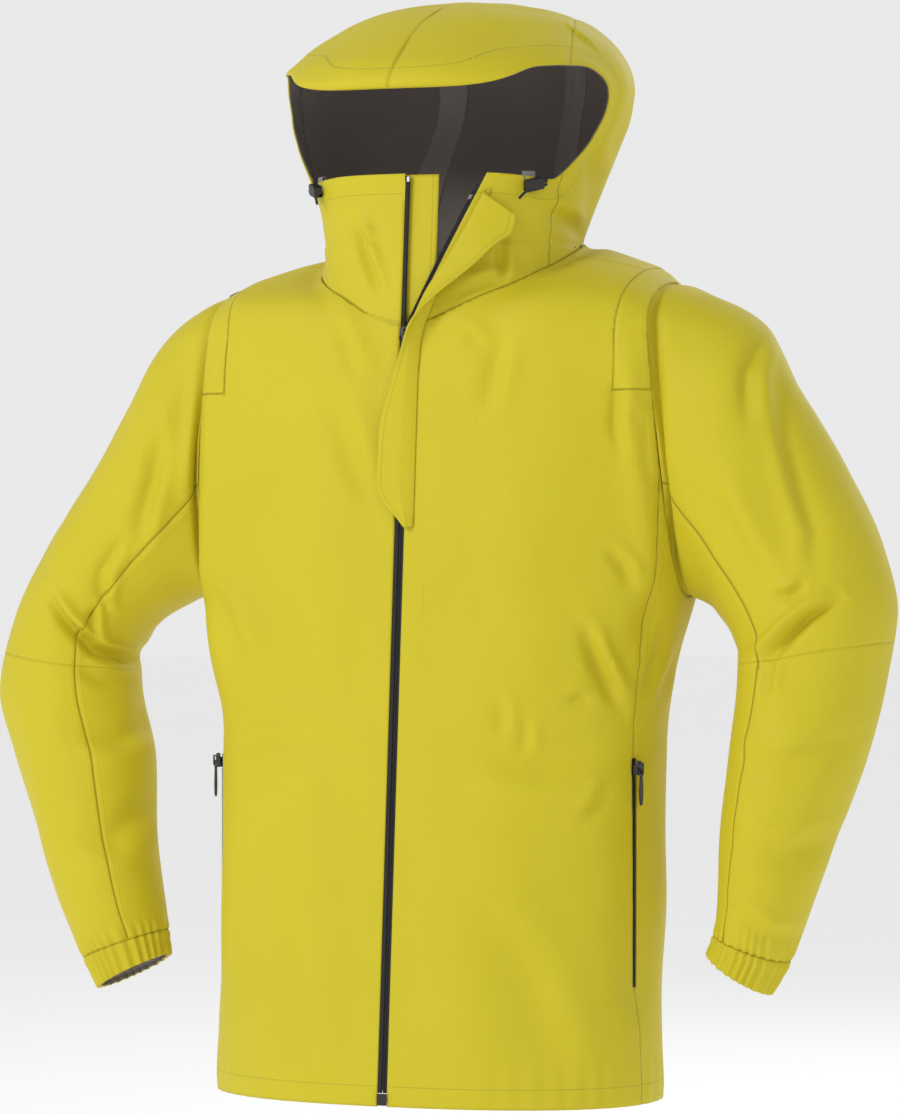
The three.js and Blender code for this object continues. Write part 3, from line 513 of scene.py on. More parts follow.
# %% Fold lines
FOLDS = {
    "body": [
        ([(127, 427), (138, 397), (160, 357)], 7, 4.5), ([(184, 612), (183, 580), (190, 553)], 7, 3.5),
        ([(223, 487), (196, 451), (178, 415)], 12, 3.5), ([(-213, 465), (-195, 433), (-181, 388)], 12, 3.5),
        ([(-97, 630), (-82, 580), (-60, 533)], 12, 2.8), ([(158, 648), (155, 610), (159, 585)], 6, 2.5),
        ([(166, 622), (180, 613), (194, 607)], 5, 2), ([(148, 497), (162, 482), (171, 464)], 6, 2.5),
        ([(-100, 712), (-90, 690), (-76, 655)], 7, 2), ([(206, 440), (197, 405), (184, 372)], 6, 3),
        ([(214, 420), (208, 390), (196, 362)], 6, 2.5), ([(262, 710), (230, 704), (196, 698)], 5, 2.5),
        ([(255, 704), (222, 688), (188, 668)], 6, 2.5), ([(112, 362), (122, 366), (132, 362)], 5, 1.8),
        ([(50, 362), (53, 348), (53, 332)], 7, 1.6), ([(73, 345), (74, 332), (72, 318)], 6, 1.6),
        ([(128, 258), (140, 270), (152, 287)], 7, 2), ([(54, 690), (46, 655), (40, 625)], 9, 2.5),
        ([(18, 694), (27, 688), (36, 680)], 5, 1.8), ([(-48, 706), (-50, 670), (-52, 640)], 6, 2),
        ([(160, 325), (88, 308), (25, 316)], 16, 1.8), ([(-195, 316), (-154, 330), (-101, 321)], 14, 1.8),
        ([(34, 182), (70, 128), (106, 20)], 20, 2), ([(-128, 182), (-136, 92), (-128, 11)], 20, 2),
    ],
    "hood": [
        ([(-80, 800), (-72, 772), (-57, 728)], 5, 3.2), ([(-34, 778), (-42, 745), (-48, 712)], 5, 2.5),
        ([(-74, 784), (-66, 778), (-58, 778)], 4, 1.5), ([(54, 778), (54, 755), (56, 733)], 5, 3),
        ([(24, 726), (44, 733), (70, 727), (92, 730)], 8, 4), ([(92, 806), (128, 788), (142, 797)], 8, 2.5),
        ([(106, 891), (142, 828), (133, 774)], 10, 2.5),
    ],
    "right": [
        ([(-372, 456), (-352, 428), (-324, 402), (-284, 390)], 6, 5.5),
        ([(-340, 385), (-318, 374), (-298, 370)], 7, 2),
        ([(-262, 604), (-270, 560), (-284, 505)], 9, 3.5), ([(-298, 505), (-318, 475), (-322, 448)], 6, 2),
        ([(-326, 442), (-328, 425), (-322, 408)], 5, 2.4), ([(-310, 470), (-316, 452), (-312, 436)], 5, 1.8),
        ([(-262, 343), (-298, 321), (-343, 325)], 12, 2.6),
        ([(-262, 272), (-307, 227), (-343, 227)], 14, 2.4),
        ([(-235, 676), (-244, 604), (-262, 541)], 12, 2.4),
    ],
    "left": [
        ([(282, 396), (306, 424), (322, 438), (349, 454)], 6, 5.5),
        ([(292, 457), (305, 457), (320, 467)], 5, 2.4),
        ([(327, 475), (329, 515), (316, 555), (305, 600), (300, 655)], 9, 2.6),
        ([(288, 692), (272, 655), (271, 610)], 8, 2.8), ([(290, 400), (287, 385), (286, 368)], 5, 2),
        ([(232, 559), (259, 505), (286, 451)], 12, 2.6), ([(263, 308), (304, 308), (357, 334)], 12, 2.4),
        ([(259, 236), (304, 227), (348, 245)], 12, 2.2), ([(254, 182), (286, 155), (313, 155)], 8, 2),
    ],
}


def one_fold(s, z, line, width, depth):
    """Height of one fold at points of the view plane."""
    line = np.array(line, float)
    spans = np.linalg.norm(np.diff(line, axis=0), axis=1)
    total, gone = spans.sum(), 0.0
    best, side, share = np.full(len(s), 1e9), np.zeros(len(s)), np.zeros(len(s))
    for (x0, z0), (x1, z1), span in zip(line, line[1:], spans):
        ax, az = (x1 - x0) / span, (z1 - z0) / span
        t = np.clip((s - x0) * ax + (z - z0) * az, 0, span)
        dx, dz = s - x0 - ax * t, z - z0 - az * t
        d = np.hypot(dx, dz)
        nearer = d < best
        best = np.where(nearer, d, best)
        side = np.where(nearer, ax * dz - az * dx, side)
        share = np.where(nearer, (gone + t) / total, share)
        gone += span
    taper = np.sin(np.pi * np.clip(share, 0.02, 0.98)) ** 0.6
    valley = np.exp(-((best / width) ** 2))
    ridge = np.exp(-(((np.sign(side) * best - 1.5 * width) / width) ** 2))
    return depth * taper * (0.7 * ridge - valley)


def waves(p, seed, length, count=9):
    """Slow waves over points, from -1 to 1, the same each run."""
    rng = np.random.default_rng(seed)
    ways = rng.normal(size=(count, 3)) * (1.0, 1.0, 0.55)
    phases = rng.uniform(0, 2 * np.pi, count)
    return np.sin(p @ ways.T * (2 * np.pi / length) * 0.6 + phases).sum(1) / math.sqrt(count) / 1.4


FOLD_DEPTH, VIEW_SHIFT = 2.3, 4
REAR_FOLDS, REAR_WIDER, REAR_DEEPER = 5, 1.6, 1.5


def folds(part, p, way):
    """How far the cloth stands in or out at points of a part's smooth surface."""
    look = np.array([math.sin(TURN), -math.cos(TURN), 0])
    s = p[:, 0] * math.cos(TURN) + p[:, 1] * math.sin(TURN) - VIEW_SHIFT
    lift = sum(one_fold(s, p[:, 2], *fold) for fold in FOLDS[part]) * soft(way @ look, 0.0, 0.4) * FOLD_DEPTH
    behind = p[:, 0] * math.cos(TURN) + p[:, 1] * math.sin(TURN) * 0.2
    lift += sum(
        one_fold(behind, p[:, 2], line, width * REAR_WIDER, depth * REAR_DEEPER)
        for line, width, depth in FOLDS[part][:REAR_FOLDS]
    ) * soft(way[:, 1], 0.2, 0.7)
    long, middling, short = waves(p, 3, 190), waves(p, 4, 80), waves(p, 5, 38)
    lift += long * 2.6 + middling * (1.0 + 0.8 * soft(way[:, 1], 0, 0.6)) + short * 0.3
    return lift


print("fold lines", sum(len(lines) for lines in FOLDS.values()))

# %% [markdown]
# ## Cutting and sewing
# A sheet of squares is cut flat along every seam, then each panel keeps its own squares and is
# wrapped. Neighbours share the very same cut points, so they meet without gaps. Each panel gets a
# thickness, with the lining on its inner face.


# %% Sheets, cuts and panels
def sheet(columns, rows, across=(0, 1), up=(0, 1)):
    """A flat sheet of squares over shares of a form's girth and height."""
    bm = bmesh.new()
    bmesh.ops.create_grid(bm, x_segments=columns, y_segments=rows, size=0.5)
    bmesh.ops.scale(bm, vec=(across[1] - across[0], up[1] - up[0], 1), verts=bm.verts)
    bmesh.ops.translate(bm, vec=((across[0] + across[1]) / 2, (up[0] + up[1]) / 2, 0), verts=bm.verts)
    return bm


def flat(bm):
    places = np.array([v.co[:2] for v in bm.verts])
    return places[:, 0], places[:, 1]


def cut(bm, field):
    """Cuts a flat sheet along the line where a field over it is nought."""
    for vert, height in zip(bm.verts, field(*flat(bm))):
        vert.co.z = height
    everything = [*bm.verts, *bm.edges, *bm.faces]
    bmesh.ops.bisect_plane(bm, geom=everything, dist=1e-4, plane_co=(0, 0, 0), plane_no=(0, 0, 1))
    for vert in bm.verts:
        vert.co.z = 0


def piece_of(bm, test):
    """The squares of a sheet whose middles pass a test."""
    part = bm.copy()
    part.faces.ensure_lookup_table()
    middles = np.array([f.calc_center_median()[:2] for f in part.faces])
    passed = test(middles[:, 0], middles[:, 1])
    bmesh.ops.delete(part, geom=[f for f, ok in zip(part.faces, passed) if not ok], context="FACES")
    return part


def finished(name, bm, finishes):
    """A mesh object at the origin with its finishes."""
    for face in bm.faces:
        face.smooth = True
    mesh = bpy.data.meshes.new(name)
    bm.to_mesh(mesh)
    bm.free()
    made = bpy.data.objects.new(name, mesh)
    scene.collection.objects.link(made)
    for finish in finishes:
        mesh.materials.append(finish.material)
    return made


def sewn(name, bm, wrap, finishes, girth, length, thickness=1.2, inset=0.0):
    """Wraps a cut panel, marks its seams, and gives it a thickness."""
    u, v = flat(bm)
    points, way, marks = wrap(u, v)
    points = points - way * inset
    for vert, place in zip(bm.verts, in_frame(points)):
        vert.co = place
    bm.normal_update()
    ways = np.array([f.normal[:] for f in bm.faces])
    bm.verts.index_update()
    aims = np.array([way[f.verts[0].index] for f in bm.faces])
    if (ways * aims).sum() < 0:
        bmesh.ops.reverse_faces(bm, faces=bm.faces)
    cloth = bm.loops.layers.uv.new("cloth")
    for face in bm.faces:
        for loop in face.loops:
            i = loop.vert.index
            loop[cloth].uv = (u[i] * girth, v[i] * length)
    size = spread(bm, u, v)
    made = finished(name, bm, finishes)
    made["spread"] = size
    for key, values in marks.items():
        stored = made.data.attributes.new(key, "FLOAT", "POINT").data
        stored.foreach_set("value", np.asarray(values, np.float32))
    if thickness:
        wall = made.modifiers.new("wall", "SOLIDIFY")
        wall.thickness, wall.offset, wall.use_even_offset = thickness / 1000, -1, False
        wall.material_offset = 1 if len(finishes) > 1 else 0
    print(name, len(made.data.polygons), "squares")
    return made


# Bands, and the piece that passes over the crown: width in metres, and how much of its box it fills.
BANDS = {
    "face_facing_band": (0.022, 1), "crown_tape_left": (0.022, 1), "crown_tape_right": (0.022, 1),
    "cloth_shoulder_panel_left": (0.046, 1), "cloth_shoulder_panel_right": (0.046, 1),
    "hem_facing_band": (0.038, 1), "cloth_hood_centre_panel": (0.28, 0.72),
}


def spread(bm, u, v):
    """The longest row and the longest column of a wrapped sheet's edges, in metres."""
    ends = np.array([[vert.index for vert in edge.verts] for edge in bm.edges])
    spans = np.array([edge.calc_length() for edge in bm.edges])
    sizes = []
    for fixed in (v, u):
        level_edges = np.abs(fixed[ends[:, 0]] - fixed[ends[:, 1]]) < 1e-5
        lines = np.round((fixed[ends[level_edges, 0]] + 2) * 5000).astype(int)
        sizes.append(float(np.bincount(lines, spans[level_edges]).max()))
    return sizes


def as_sheet(made):
    """Prints a sewn piece's flat size as cloth, by the size measured over it, or by its width if it is a band.
    """
    area = sum(face.area for face in made.data.polygons)
    width, length = made["spread"]
    if made.name in BANDS:
        width, fills = BANDS[made.name]
        length = area / width / fills
    share = area / (width * length)
    print(f"flat {made.name} {width:.3f} x {length:.3f} m, area {area:.4f}, fills {share:.2f}")
    min(area, width * length)


def dressed(made, body, slot, *nodes):
    """Hangs a piece on what it rides on, hides the nodes it stands for, and prints the flat size of shell and
    lining cloth.
    """
    if body:
        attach(made, body)
    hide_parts(*nodes)
    if made.type == "MESH" and "cloth" in made.data.uv_layers and slot in ("shell", "lining"):
        as_sheet(made)
    return made


def groove(seam, depth=1.0, width=2.4):
    return -depth * np.exp(-((seam / width) ** 2))


# %% [markdown]
# ## Body panels
# Two fronts, two side panels with the hand pockets between, two shoulder panels and one back.

# %% Body seams
SIDE_BACK, SHOULDER_X, SHOULDER_Z, SHOULDER_Y = 75.0, 190.0, 640.0, 30.0
POCKET_FOOT, POCKET_LENGTH, POCKET_GAP, POCKET_TAPE = 105.0, 205.0, 2.6, 9.0
SLIDER_TOP, SLIDER_TRAVEL, RECESS, RECESS_FOOT = 308, 170, 0.8, 3.7
HEM_STITCH, HEM_TURN, HEM_HEIGHT, HEM_GATHERS = 18.0, 30, 38.0, 52
ARMHOLE_WELT, SHOULDER_LIFT, WAIST_BULGE, SEAM_DEPTH = 5, 5, 9, 0.6
ZIP_STITCH, FLAP_STITCH = 9, 25
FAR = 99.0
BODY_CLOTH, HOOD_CLOTH = (1.25, 0.85), (0.9, 0.5)


def side_seam(z):
    return POCKET_SEAM + (SHOULDER_Y - POCKET_SEAM) * soft(z, 600, 690)


def back_seam(z):
    return SIDE_BACK + (SHOULDER_Y - SIDE_BACK) * soft(z, 640, 700)


def armhole_side(p):
    """How far a point is past the armhole's plane."""
    out = p * (1, 1, 1)
    out[:, 0] = np.abs(out[:, 0])
    return (out - ARMPIT) @ ARMHOLE


def pocket_rows(z):
    return (z > POCKET_FOOT) & (z < POCKET_FOOT + POCKET_LENGTH)


def body_wrap(u, v):
    p, way, neck = rounded(BODY, u, v)
    x, y, z = np.abs(p[:, 0]), p[:, 1], p[:, 2]
    arm = armhole_side(p)
    upright = np.where(z > SHOULDER_Z - 3, np.abs(x - SHOULDER_X), FAR)
    crossing = np.where(x > SHOULDER_X - 3, np.abs(z - SHOULDER_Z), FAR)
    corner = (x > SHOULDER_X - 12) & (z > SHOULDER_Z - 12)
    shoulder = np.where(corner, np.minimum(upright, crossing), FAR)
    top = (x > SHOULDER_X) & (z > SHOULDER_Z)
    sides = np.where(top, FAR, np.abs(y - side_seam(z)))
    backs = np.where(top | (z >= SHOULDER_Z), FAR, np.abs(y - SIDE_BACK))
    necks = np.where(z > 660, np.abs(neck) * 1.5, FAR)
    seam = np.minimum.reduce([sides, backs, shoulder, np.abs(arm), necks])
    lift = folds("body", p, way) * soft(np.abs(arm), 0, 30) * soft(x + (y > 0) * FAR, 6, 45)
    lift *= soft(z, -10, 60) * 0.8 + 0.2
    pocket = np.exp(-(((y - POCKET_SEAM) / 26) ** 2)) * soft(z, 60, 110) * soft(-z, -370, -315)
    recess = RECESS + RECESS_FOOT * np.clip((SLIDER_TOP - z) / SLIDER_TRAVEL, 0, 1.2)
    lift = lift * (1 - pocket) - recess * pocket
    welt = ARMHOLE_WELT * np.exp(-(((arm + 16) / 11) ** 2))
    lift += welt * soft(-y, -20, 20) * soft(z, 440, 480) * soft(-z, -700, -640)
    lift += groove(seam, SEAM_DEPTH) - 1.6 * soft(14 - z, 0, 14) * 0.6
    lift += SHOULDER_LIFT * soft(z, 700, 730) * soft(np.abs(arm), 0, 30) * soft(np.abs(neck), 0, 30)
    bulge = WAIST_BULGE * np.exp(-(((z - 415) / 50) ** 2)) - 4 * soft(-z, -200, -60)
    lift += bulge * soft(-p[:, 0], 120, 190) * soft(np.abs(arm), 0, 40) * (1 - pocket)
    lift += np.sin(u * 2 * np.pi * HEM_GATHERS) * 0.5 * (1 - soft(z, 18, 60)) * soft(x, 40, 120)
    beside_flap = np.where(p[:, 0] > 0, np.abs(x - FLAP_STITCH), FAR)
    beside_zip = np.minimum(np.abs(x - ZIP_STITCH), beside_flap)
    stitch = np.where(z < HEM_TURN, z - HEM_STITCH, np.where((y < 0) & (z < 690), beside_zip, FAR))
    run = np.where(z < HEM_TURN, u * 1250, z)
    return p + way * lift[:, None], way, {"seam": seam, "stitch": stitch, "run": run}


def over(rows, measure):
    """A measure of places on a form, as a field over its flat sheet."""
    def field(u, v):
        p, _, neck = rounded(rows, u, v)
        return measure(p, neck)
    return field


def under_hood(p, neck):
    """Past the neck seam, negative where the body's cloth is kept; nothing is lost below the shoulder."""
    return neck + (p[:, 2] < SHOULDER_Z) * -50


BODY_CUTS = [
    lambda p, neck: armhole_side(p),
    under_hood,
    lambda p, neck: np.where(p[:, 1] < 60, np.abs(p[:, 0]) - ZIP_HALF, 50),
    lambda p, neck: p[:, 1] - side_seam(p[:, 2]),
    lambda p, neck: p[:, 1] - back_seam(p[:, 2]),
    lambda p, neck: np.abs(p[:, 0]) - SHOULDER_X,
    lambda p, neck: p[:, 2] - SHOULDER_Z,
    *[
        lambda p, neck, aside=aside: p[:, 1] - POCKET_SEAM - aside
        for aside in (POCKET_GAP, -POCKET_GAP, POCKET_TAPE, -POCKET_TAPE)
    ],
    lambda p, neck: p[:, 2] - POCKET_FOOT,
    lambda p, neck: p[:, 2] - POCKET_FOOT - POCKET_LENGTH,
    lambda p, neck: p[:, 2] - HEM_HEIGHT,
]
body_sheet = sheet(330, 240)
for measure in BODY_CUTS:
    cut(body_sheet, over(BODY, measure))
print("body sheet", len(body_sheet.faces), "squares")


# %% Body panels
def body_test(rule, slotted=True):
    def test(u, v):
        p, _, neck = rounded(BODY, u, v)
        live = (armhole_side(p) < 0) & (under_hood(p, neck) < 0)
        x, y, z = np.abs(p[:, 0]), p[:, 1], p[:, 2]
        top = (x > SHOULDER_X) & (z > SHOULDER_Z)
        slot = (np.abs(y - POCKET_SEAM) < POCKET_GAP) & pocket_rows(z)
        live &= ~slot | (not slotted)
        kept = rule(p[:, 0], y, z, top, y < side_seam(z), y > back_seam(z))
        return live & kept & ((x > ZIP_HALF) | (y > 0))
    return test


BODY_PANELS = {
    "front_panel_left": lambda x, y, z, top, front, back: front & ~top & (x > 0),
    "front_panel_right": lambda x, y, z, top, front, back: front & ~top & (x < 0),
    "side_panel_left": lambda x, y, z, top, front, back: ~front & ~back & ~top & (x > 0),
    "side_panel_right": lambda x, y, z, top, front, back: ~front & ~back & ~top & (x < 0),
    "shoulder_panel_left": lambda x, y, z, top, front, back: top & (x > 0),
    "shoulder_panel_right": lambda x, y, z, top, front, back: top & (x < 0),
    "back_panel": lambda x, y, z, top, front, back: back & ~top,
}
for node, rule in BODY_PANELS.items():
    panel = piece_of(body_sheet, body_test(rule))
    panel = sewn("cloth_" + node, panel, body_wrap, [SHELL, LINING], *BODY_CLOTH)
    dressed(panel, "jacket", "shell", node)

# %% [markdown]
# ## Hood and collar
# A three-panel hood: a centre strip over the crown, two sides, and the collar fronts. The face
# opening is cut along one smooth line seen from the side.

# %% Hood seams
FACE_LINE = np.array([
    (-400, 837), (-60, 837), (-15, 832), (2, 848), (9, 872), (8, 895), (-6, 919), (-38, 931),
    (-85, 928), (-135, 908), (-400, 905),
], float)
FACE_CURVE = along(FACE_LINE, np.linspace(0, 1, 240))
TAPE_HALF, FACING_WIDTH, NECK_ALLOWANCE = 11.0, 22.0, 0.8
CROWN_BACK, CROWN_BASE, COLLAR_BACK, ABOVE_ZIP = 40, 870, -5, 860
HOOD_LEAN, FACE_STITCH = 13, 18
CROWN_REAR, CROWN_FRONT = np.array([60.0, 175.0]), np.array([140.0, -60.0])
crown_way = np.array([CROWN_REAR[1] - CROWN_FRONT[1], CROWN_FRONT[0] - CROWN_REAR[0]])
crown_way = crown_way / np.linalg.norm(crown_way)


def face_edge(p):
    """How far a point is outside the face opening, negative in the opening."""
    y, z = p[:, 1], p[:, 2]
    best = np.full(len(p), 1e9)
    inside = np.zeros(len(p), bool)
    for (y0, z0), (y1, z1) in zip(FACE_CURVE, FACE_CURVE[1:]):
        span = math.hypot(y1 - y0, z1 - z0) + 1e-9
        t = np.clip(((y - y0) * (y1 - y0) + (z - z0) * (z1 - z0)) / span**2, 0, 1)
        best = np.minimum(best, np.hypot(y - y0 - (y1 - y0) * t, z - z0 - (z1 - z0) * t))
        crosses = (z0 > z) != (z1 > z)
        inside ^= crosses & (y < y0 + (z - z0) / (z1 - z0 + 1e-9) * (y1 - y0))
    inside &= (z > 800) & (z < 940)
    return np.where(inside, -best, best)


def crown_side(p):
    return (np.abs(p[:, 0]) - CROWN_REAR[0]) * crown_way[0] + (p[:, 1] - CROWN_REAR[1]) * crown_way[1]


def crown_area(p):
    return (p[:, 1] > CROWN_BACK) | (p[:, 2] > CROWN_BASE)


def lapel_side(p):
    """How far a point is on the wearer's left of the parted zip."""
    rise = np.array([LAPEL[1] - FORK, -LAPEL[0]]) / math.hypot(LAPEL[0], LAPEL[1] - FORK)
    left = p[:, 0] * rise[0] + (p[:, 2] - FORK) * rise[1]
    return np.where(p[:, 0] > 0, left, -p[:, 0]) - ZIP_HALF


def hood_wrap(u, v):
    p, way, neck = rounded(HOOD, u, v)
    y, z = p[:, 1], p[:, 2]
    face = face_edge(p)
    seam = np.minimum.reduce([
        np.where(crown_area(p), np.abs(crown_side(p)), FAR), np.abs(neck) * 1.5,
        np.where((np.abs(y - COLLAR_BACK) < 30) & (z < 852), np.abs(y - COLLAR_BACK), FAR),
    ])
    off_zip = soft(np.abs(lapel_side(p)) + (y > 0) * FAR, 4, 30)
    lift = folds("hood", p, way) * soft(np.abs(neck), 0, 14) * off_zip
    lift = lift * soft(face, 2, 30) + groove(seam, SEAM_DEPTH) - 1.4 * soft(-neck, 0, 1)
    lift += 1.2 * np.exp(-(((face - 3) / 4) ** 2))
    placed = p + way * lift[:, None]
    placed[:, 0] += HOOD_LEAN * soft(z, 838, 950)
    stitch = np.where(face < 24, face - FACE_STITCH, FAR)
    return placed, way, {"seam": seam, "stitch": stitch, "run": u * 900}


HOOD_CUTS = [
    lambda p, neck: neck + NECK_ALLOWANCE,
    lambda p, neck: face_edge(p),
    lambda p, neck: np.where(p[:, 1] < 0, lapel_side(p), 50),
    lambda p, neck: crown_side(p),
    lambda p, neck: np.where(p[:, 2] < 868, p[:, 1] - COLLAR_BACK, 50 * np.sign(p[:, 1] - COLLAR_BACK)),
    lambda p, neck: p[:, 1] - CROWN_BACK,
    lambda p, neck: p[:, 2] - CROWN_BASE,
    lambda p, neck: crown_side(p) - TAPE_HALF,
    lambda p, neck: crown_side(p) + TAPE_HALF,
    lambda p, neck: face_edge(p) - FACING_WIDTH,
]
hood_sheet = sheet(290, 210)
for measure in HOOD_CUTS:
    cut(hood_sheet, over(HOOD, measure))
print("hood sheet", len(hood_sheet.faces), "squares")


# %% Hood panels
def hood_band(rule):
    """A test for the hood's cloth, up to its seam allowance and outside the face opening."""
    def test(u, v):
        p, _, neck = rounded(HOOD, u, v)
        return (neck > -NECK_ALLOWANCE) & (face_edge(p) > 0) & rule(p, neck)
    return test


def hood_rule(rule):
    def kept(p, neck):
        live = (lapel_side(p) > 0) | (p[:, 1] > 0) | (p[:, 2] > ABOVE_ZIP)
        centre = crown_area(p) & (crown_side(p) < 0)
        collar = (p[:, 1] < COLLAR_BACK) & (p[:, 2] < 866) & ~centre
        return live & rule(p[:, 0], centre, collar)
    return kept


HOOD_PANELS = {
    "hood_centre_panel": lambda x, centre, collar: centre,
    "hood_side_panel_left": lambda x, centre, collar: ~centre & ~collar & (x > 0),
    "hood_side_panel_right": lambda x, centre, collar: ~centre & ~collar & (x < 0),
    "collar_front_left": lambda x, centre, collar: collar & (x > 0),
    "collar_front_right": lambda x, centre, collar: collar & (x < 0),
}
for node, rule in HOOD_PANELS.items():
    panel = piece_of(hood_sheet, hood_band(hood_rule(rule)))
    panel = sewn("cloth_" + node, panel, hood_wrap, [SHELL, LINING], *HOOD_CLOTH)
    dressed(panel, "jacket", "shell", node)

# %% [markdown]
# ## Sleeves
# An outer and an under panel on each side, and an elastic cuff. The sleeve swings at the armhole.
# Each panel is split at the elbow: the upper part is left unattached, and the forearm, which hangs
# back beside the armhole's own plane, rides on the sleeve with the cuff.

# %% Sleeve panels
SLEEVE_FRONT, SLEEVE_BACK = 120 / 360, 230 / 360
SLEEVE_GIRTH, SLEEVE_LENGTH = 420, 760
SLEEVE_CLOTH = (SLEEVE_GIRTH / 1000, SLEEVE_LENGTH / 1000)
CUFF_START, ELBOW, CUFF_GATHERS = 0.955, 0.5, 27
UPPER_ROWS, LOWER_ROWS, BLEND_REACH = 126, 114, 0.040


def sleeve_wrap(side):
    def wrap(u, v):
        p = sleeve_point(side, u, v)
        way = outward(lambda a, b: sleeve_point(side, a, b), u, v) * SIGN[side]
        length = v * SLEEVE_LENGTH
        lines = (SLEEVE_FRONT, SLEEVE_BACK, SLEEVE_BACK - 1)
        seam = np.minimum.reduce([*(np.abs(u - at) * SLEEVE_GIRTH for at in lines), length])
        seam = np.where(v > CUFF_START, FAR, seam)
        lift = folds(side, p, way) * soft(length, 0, 40)
        round_front = soft(np.sin(2 * np.pi * u), 0.1, 0.6)
        lift -= 9 * np.exp(-(((length - 16) / 13) ** 2)) * soft(length, 0, 8) * (0.25 + 0.75 * round_front)
        lift += groove(seam, SEAM_DEPTH)
        gather = soft(v, 0.90, 0.97)
        lift += gather * (1.5 * np.sin(u * 2 * np.pi * CUFF_GATHERS + 1.5 * np.sin(u * 31)) - 1.0)
        edge = np.exp(-(((v - CUFF_START) / 0.004) ** 2)) + np.exp(-(((v - 0.975) / 0.006) ** 2)) * 0.4
        lift -= 1.4 * edge
        stitch = np.where(v > 0.9, (v - CUFF_START) * SLEEVE_LENGTH, FAR)
        return p + way * lift[:, None], way, {"seam": seam, "stitch": stitch, "run": u * 300}
    return wrap


for side in ("left", "right"):
    wrap = sleeve_wrap(side)
    for node, across, columns in (
        ("sleeve_outer_", (SLEEVE_BACK - 1, SLEEVE_FRONT), 120),
        ("sleeve_under_", (SLEEVE_FRONT, SLEEVE_BACK), 56),
    ):
        upper = sheet(columns, UPPER_ROWS, across, (0, ELBOW))
        upper = sewn("cloth_" + node + side, upper, wrap, [SHELL, LINING], *SLEEVE_CLOTH)
        dressed(upper, None, "shell", node + side)
        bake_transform(upper)
        lower = sheet(columns, LOWER_ROWS, across, (ELBOW, CUFF_START))
        lower = sewn("cloth_" + node + "lower_" + side, lower, wrap, [SHELL, LINING], *SLEEVE_CLOTH)
        dressed(lower, side + "_sleeve", "shell", node + side)
    cuff = sheet(216, 16, (0, 1), (CUFF_START, 1))
    cuff = sewn("cloth_cuff_band_" + side, cuff, wrap, [SHELL, LINING], *SLEEVE_CLOTH, 2.0)
    dressed(cuff, side + "_sleeve", "shell", "cuff_band_" + side)

# %% [markdown]
# ## Facings, tapes and pocket bags
# Inside the shell lie the hem's facing, the grey facing round the face opening, the brim's
# stiffener, the tapes over the hood's seams and the pocket bags. They follow the same surfaces, a
# little further in, so they are kept from the same cut sheets.

# %% Inner layers
BODY_INSIDE = (body_sheet, lambda rule: body_test(rule, False), body_wrap)
HOOD_INSIDE = (hood_sheet, hood_band, hood_wrap)


def inner_piece(name, form, rule, finish, inset, slot, node, thickness=0.5):
    source, test, wrap = form
    made = sewn(name, piece_of(source, test(rule)), wrap, [finish], 1.0, 0.8, thickness, inset)
    dressed(made, "jacket", slot, node)


def hem_rule(x, y, z, top, front, back):
    return (z < HEM_HEIGHT) & ((np.abs(x) > 30) | (y > 0))


inner_piece("hem_facing_band", BODY_INSIDE, hem_rule, LINING, 2.2, "lining", "hem_facing")
for side in ("left", "right"):
    way = SIGN[side]

    def bag_rule(x, y, z, top, front, back, way=way):
        return (x * way > 0) & (y > POCKET_SEAM - 66) & (y < POCKET_SEAM + 6) & (z > 58) & (z < 332)

    def tape_rule(x, y, z, top, front, back, way=way):
        return (x * way > 0) & (np.abs(y - POCKET_SEAM) < POCKET_TAPE) & pocket_rows(z)

    inner_piece("pocket_lining_" + side, BODY_INSIDE, bag_rule, LINING, 4.0, "lining", "pocket_bag_" + side)
    inner_piece("pocket_tape_" + side, BODY_INSIDE, tape_rule, ZIP_TAPE, 1.4, "trim", "pocket_zip_tape_" + side)


def facing_rule(p, neck):
    above = p[:, 2] > ABOVE_ZIP
    return (face_edge(p) < FACING_WIDTH) & ((np.abs(p[:, 0]) > 26) | above) & ((lapel_side(p) > 12) | above)


def brim_rule(p, neck):
    return (p[:, 1] < -80) & (p[:, 2] > 912) & (p[:, 2] < 938) & (face_edge(p) > 4)


inner_piece("face_facing_band", HOOD_INSIDE, facing_rule, FACING, 1.6, "lining", "face_facing")
inner_piece("brim_shape", HOOD_INSIDE, brim_rule, LINING, 1.3, "trim", "brim_stiffener", 0.3)
for side in ("left", "right"):
    def crown_rule(p, neck, way=SIGN[side]):
        on_seam = (np.abs(crown_side(p)) < TAPE_HALF) & (p[:, 0] * way > 0)
        return on_seam & ((p[:, 1] > CROWN_BACK) | (p[:, 2] > 945)) & (p[:, 1] > -60) & (neck > 4)

    tape, node = "crown_tape_" + side, "crown_seam_tape_" + side
    inner_piece(tape, HOOD_INSIDE, crown_rule, SEAM_TAPE, 1.5, "lining", node, 0.3)

for side in ("left", "right"):
    elastic = sheet(108, 6, (0, 1), (0.962, 0.993))
    elastic = sewn("elastic_" + side, elastic, sleeve_wrap(side), [GREY_WEB], *SLEEVE_CLOTH, 0.8, 2.6)
    dressed(elastic, side + "_sleeve", "webbing", "cuff_elastic_" + side)

# %% [markdown]
# ## Front closure
# The zip's two tapes run up beside each other to the fork, then part: one stays upright and the
# other follows the turned-back edge. The coil is one loop of a small rounded bead, repeated at
# the coil's pitch. A storm flap covers the upper half from outside, a wind flap from inside.


# %% Strips that follow the front
HOOD_FROM, STRIP_ROWS = 706, 240


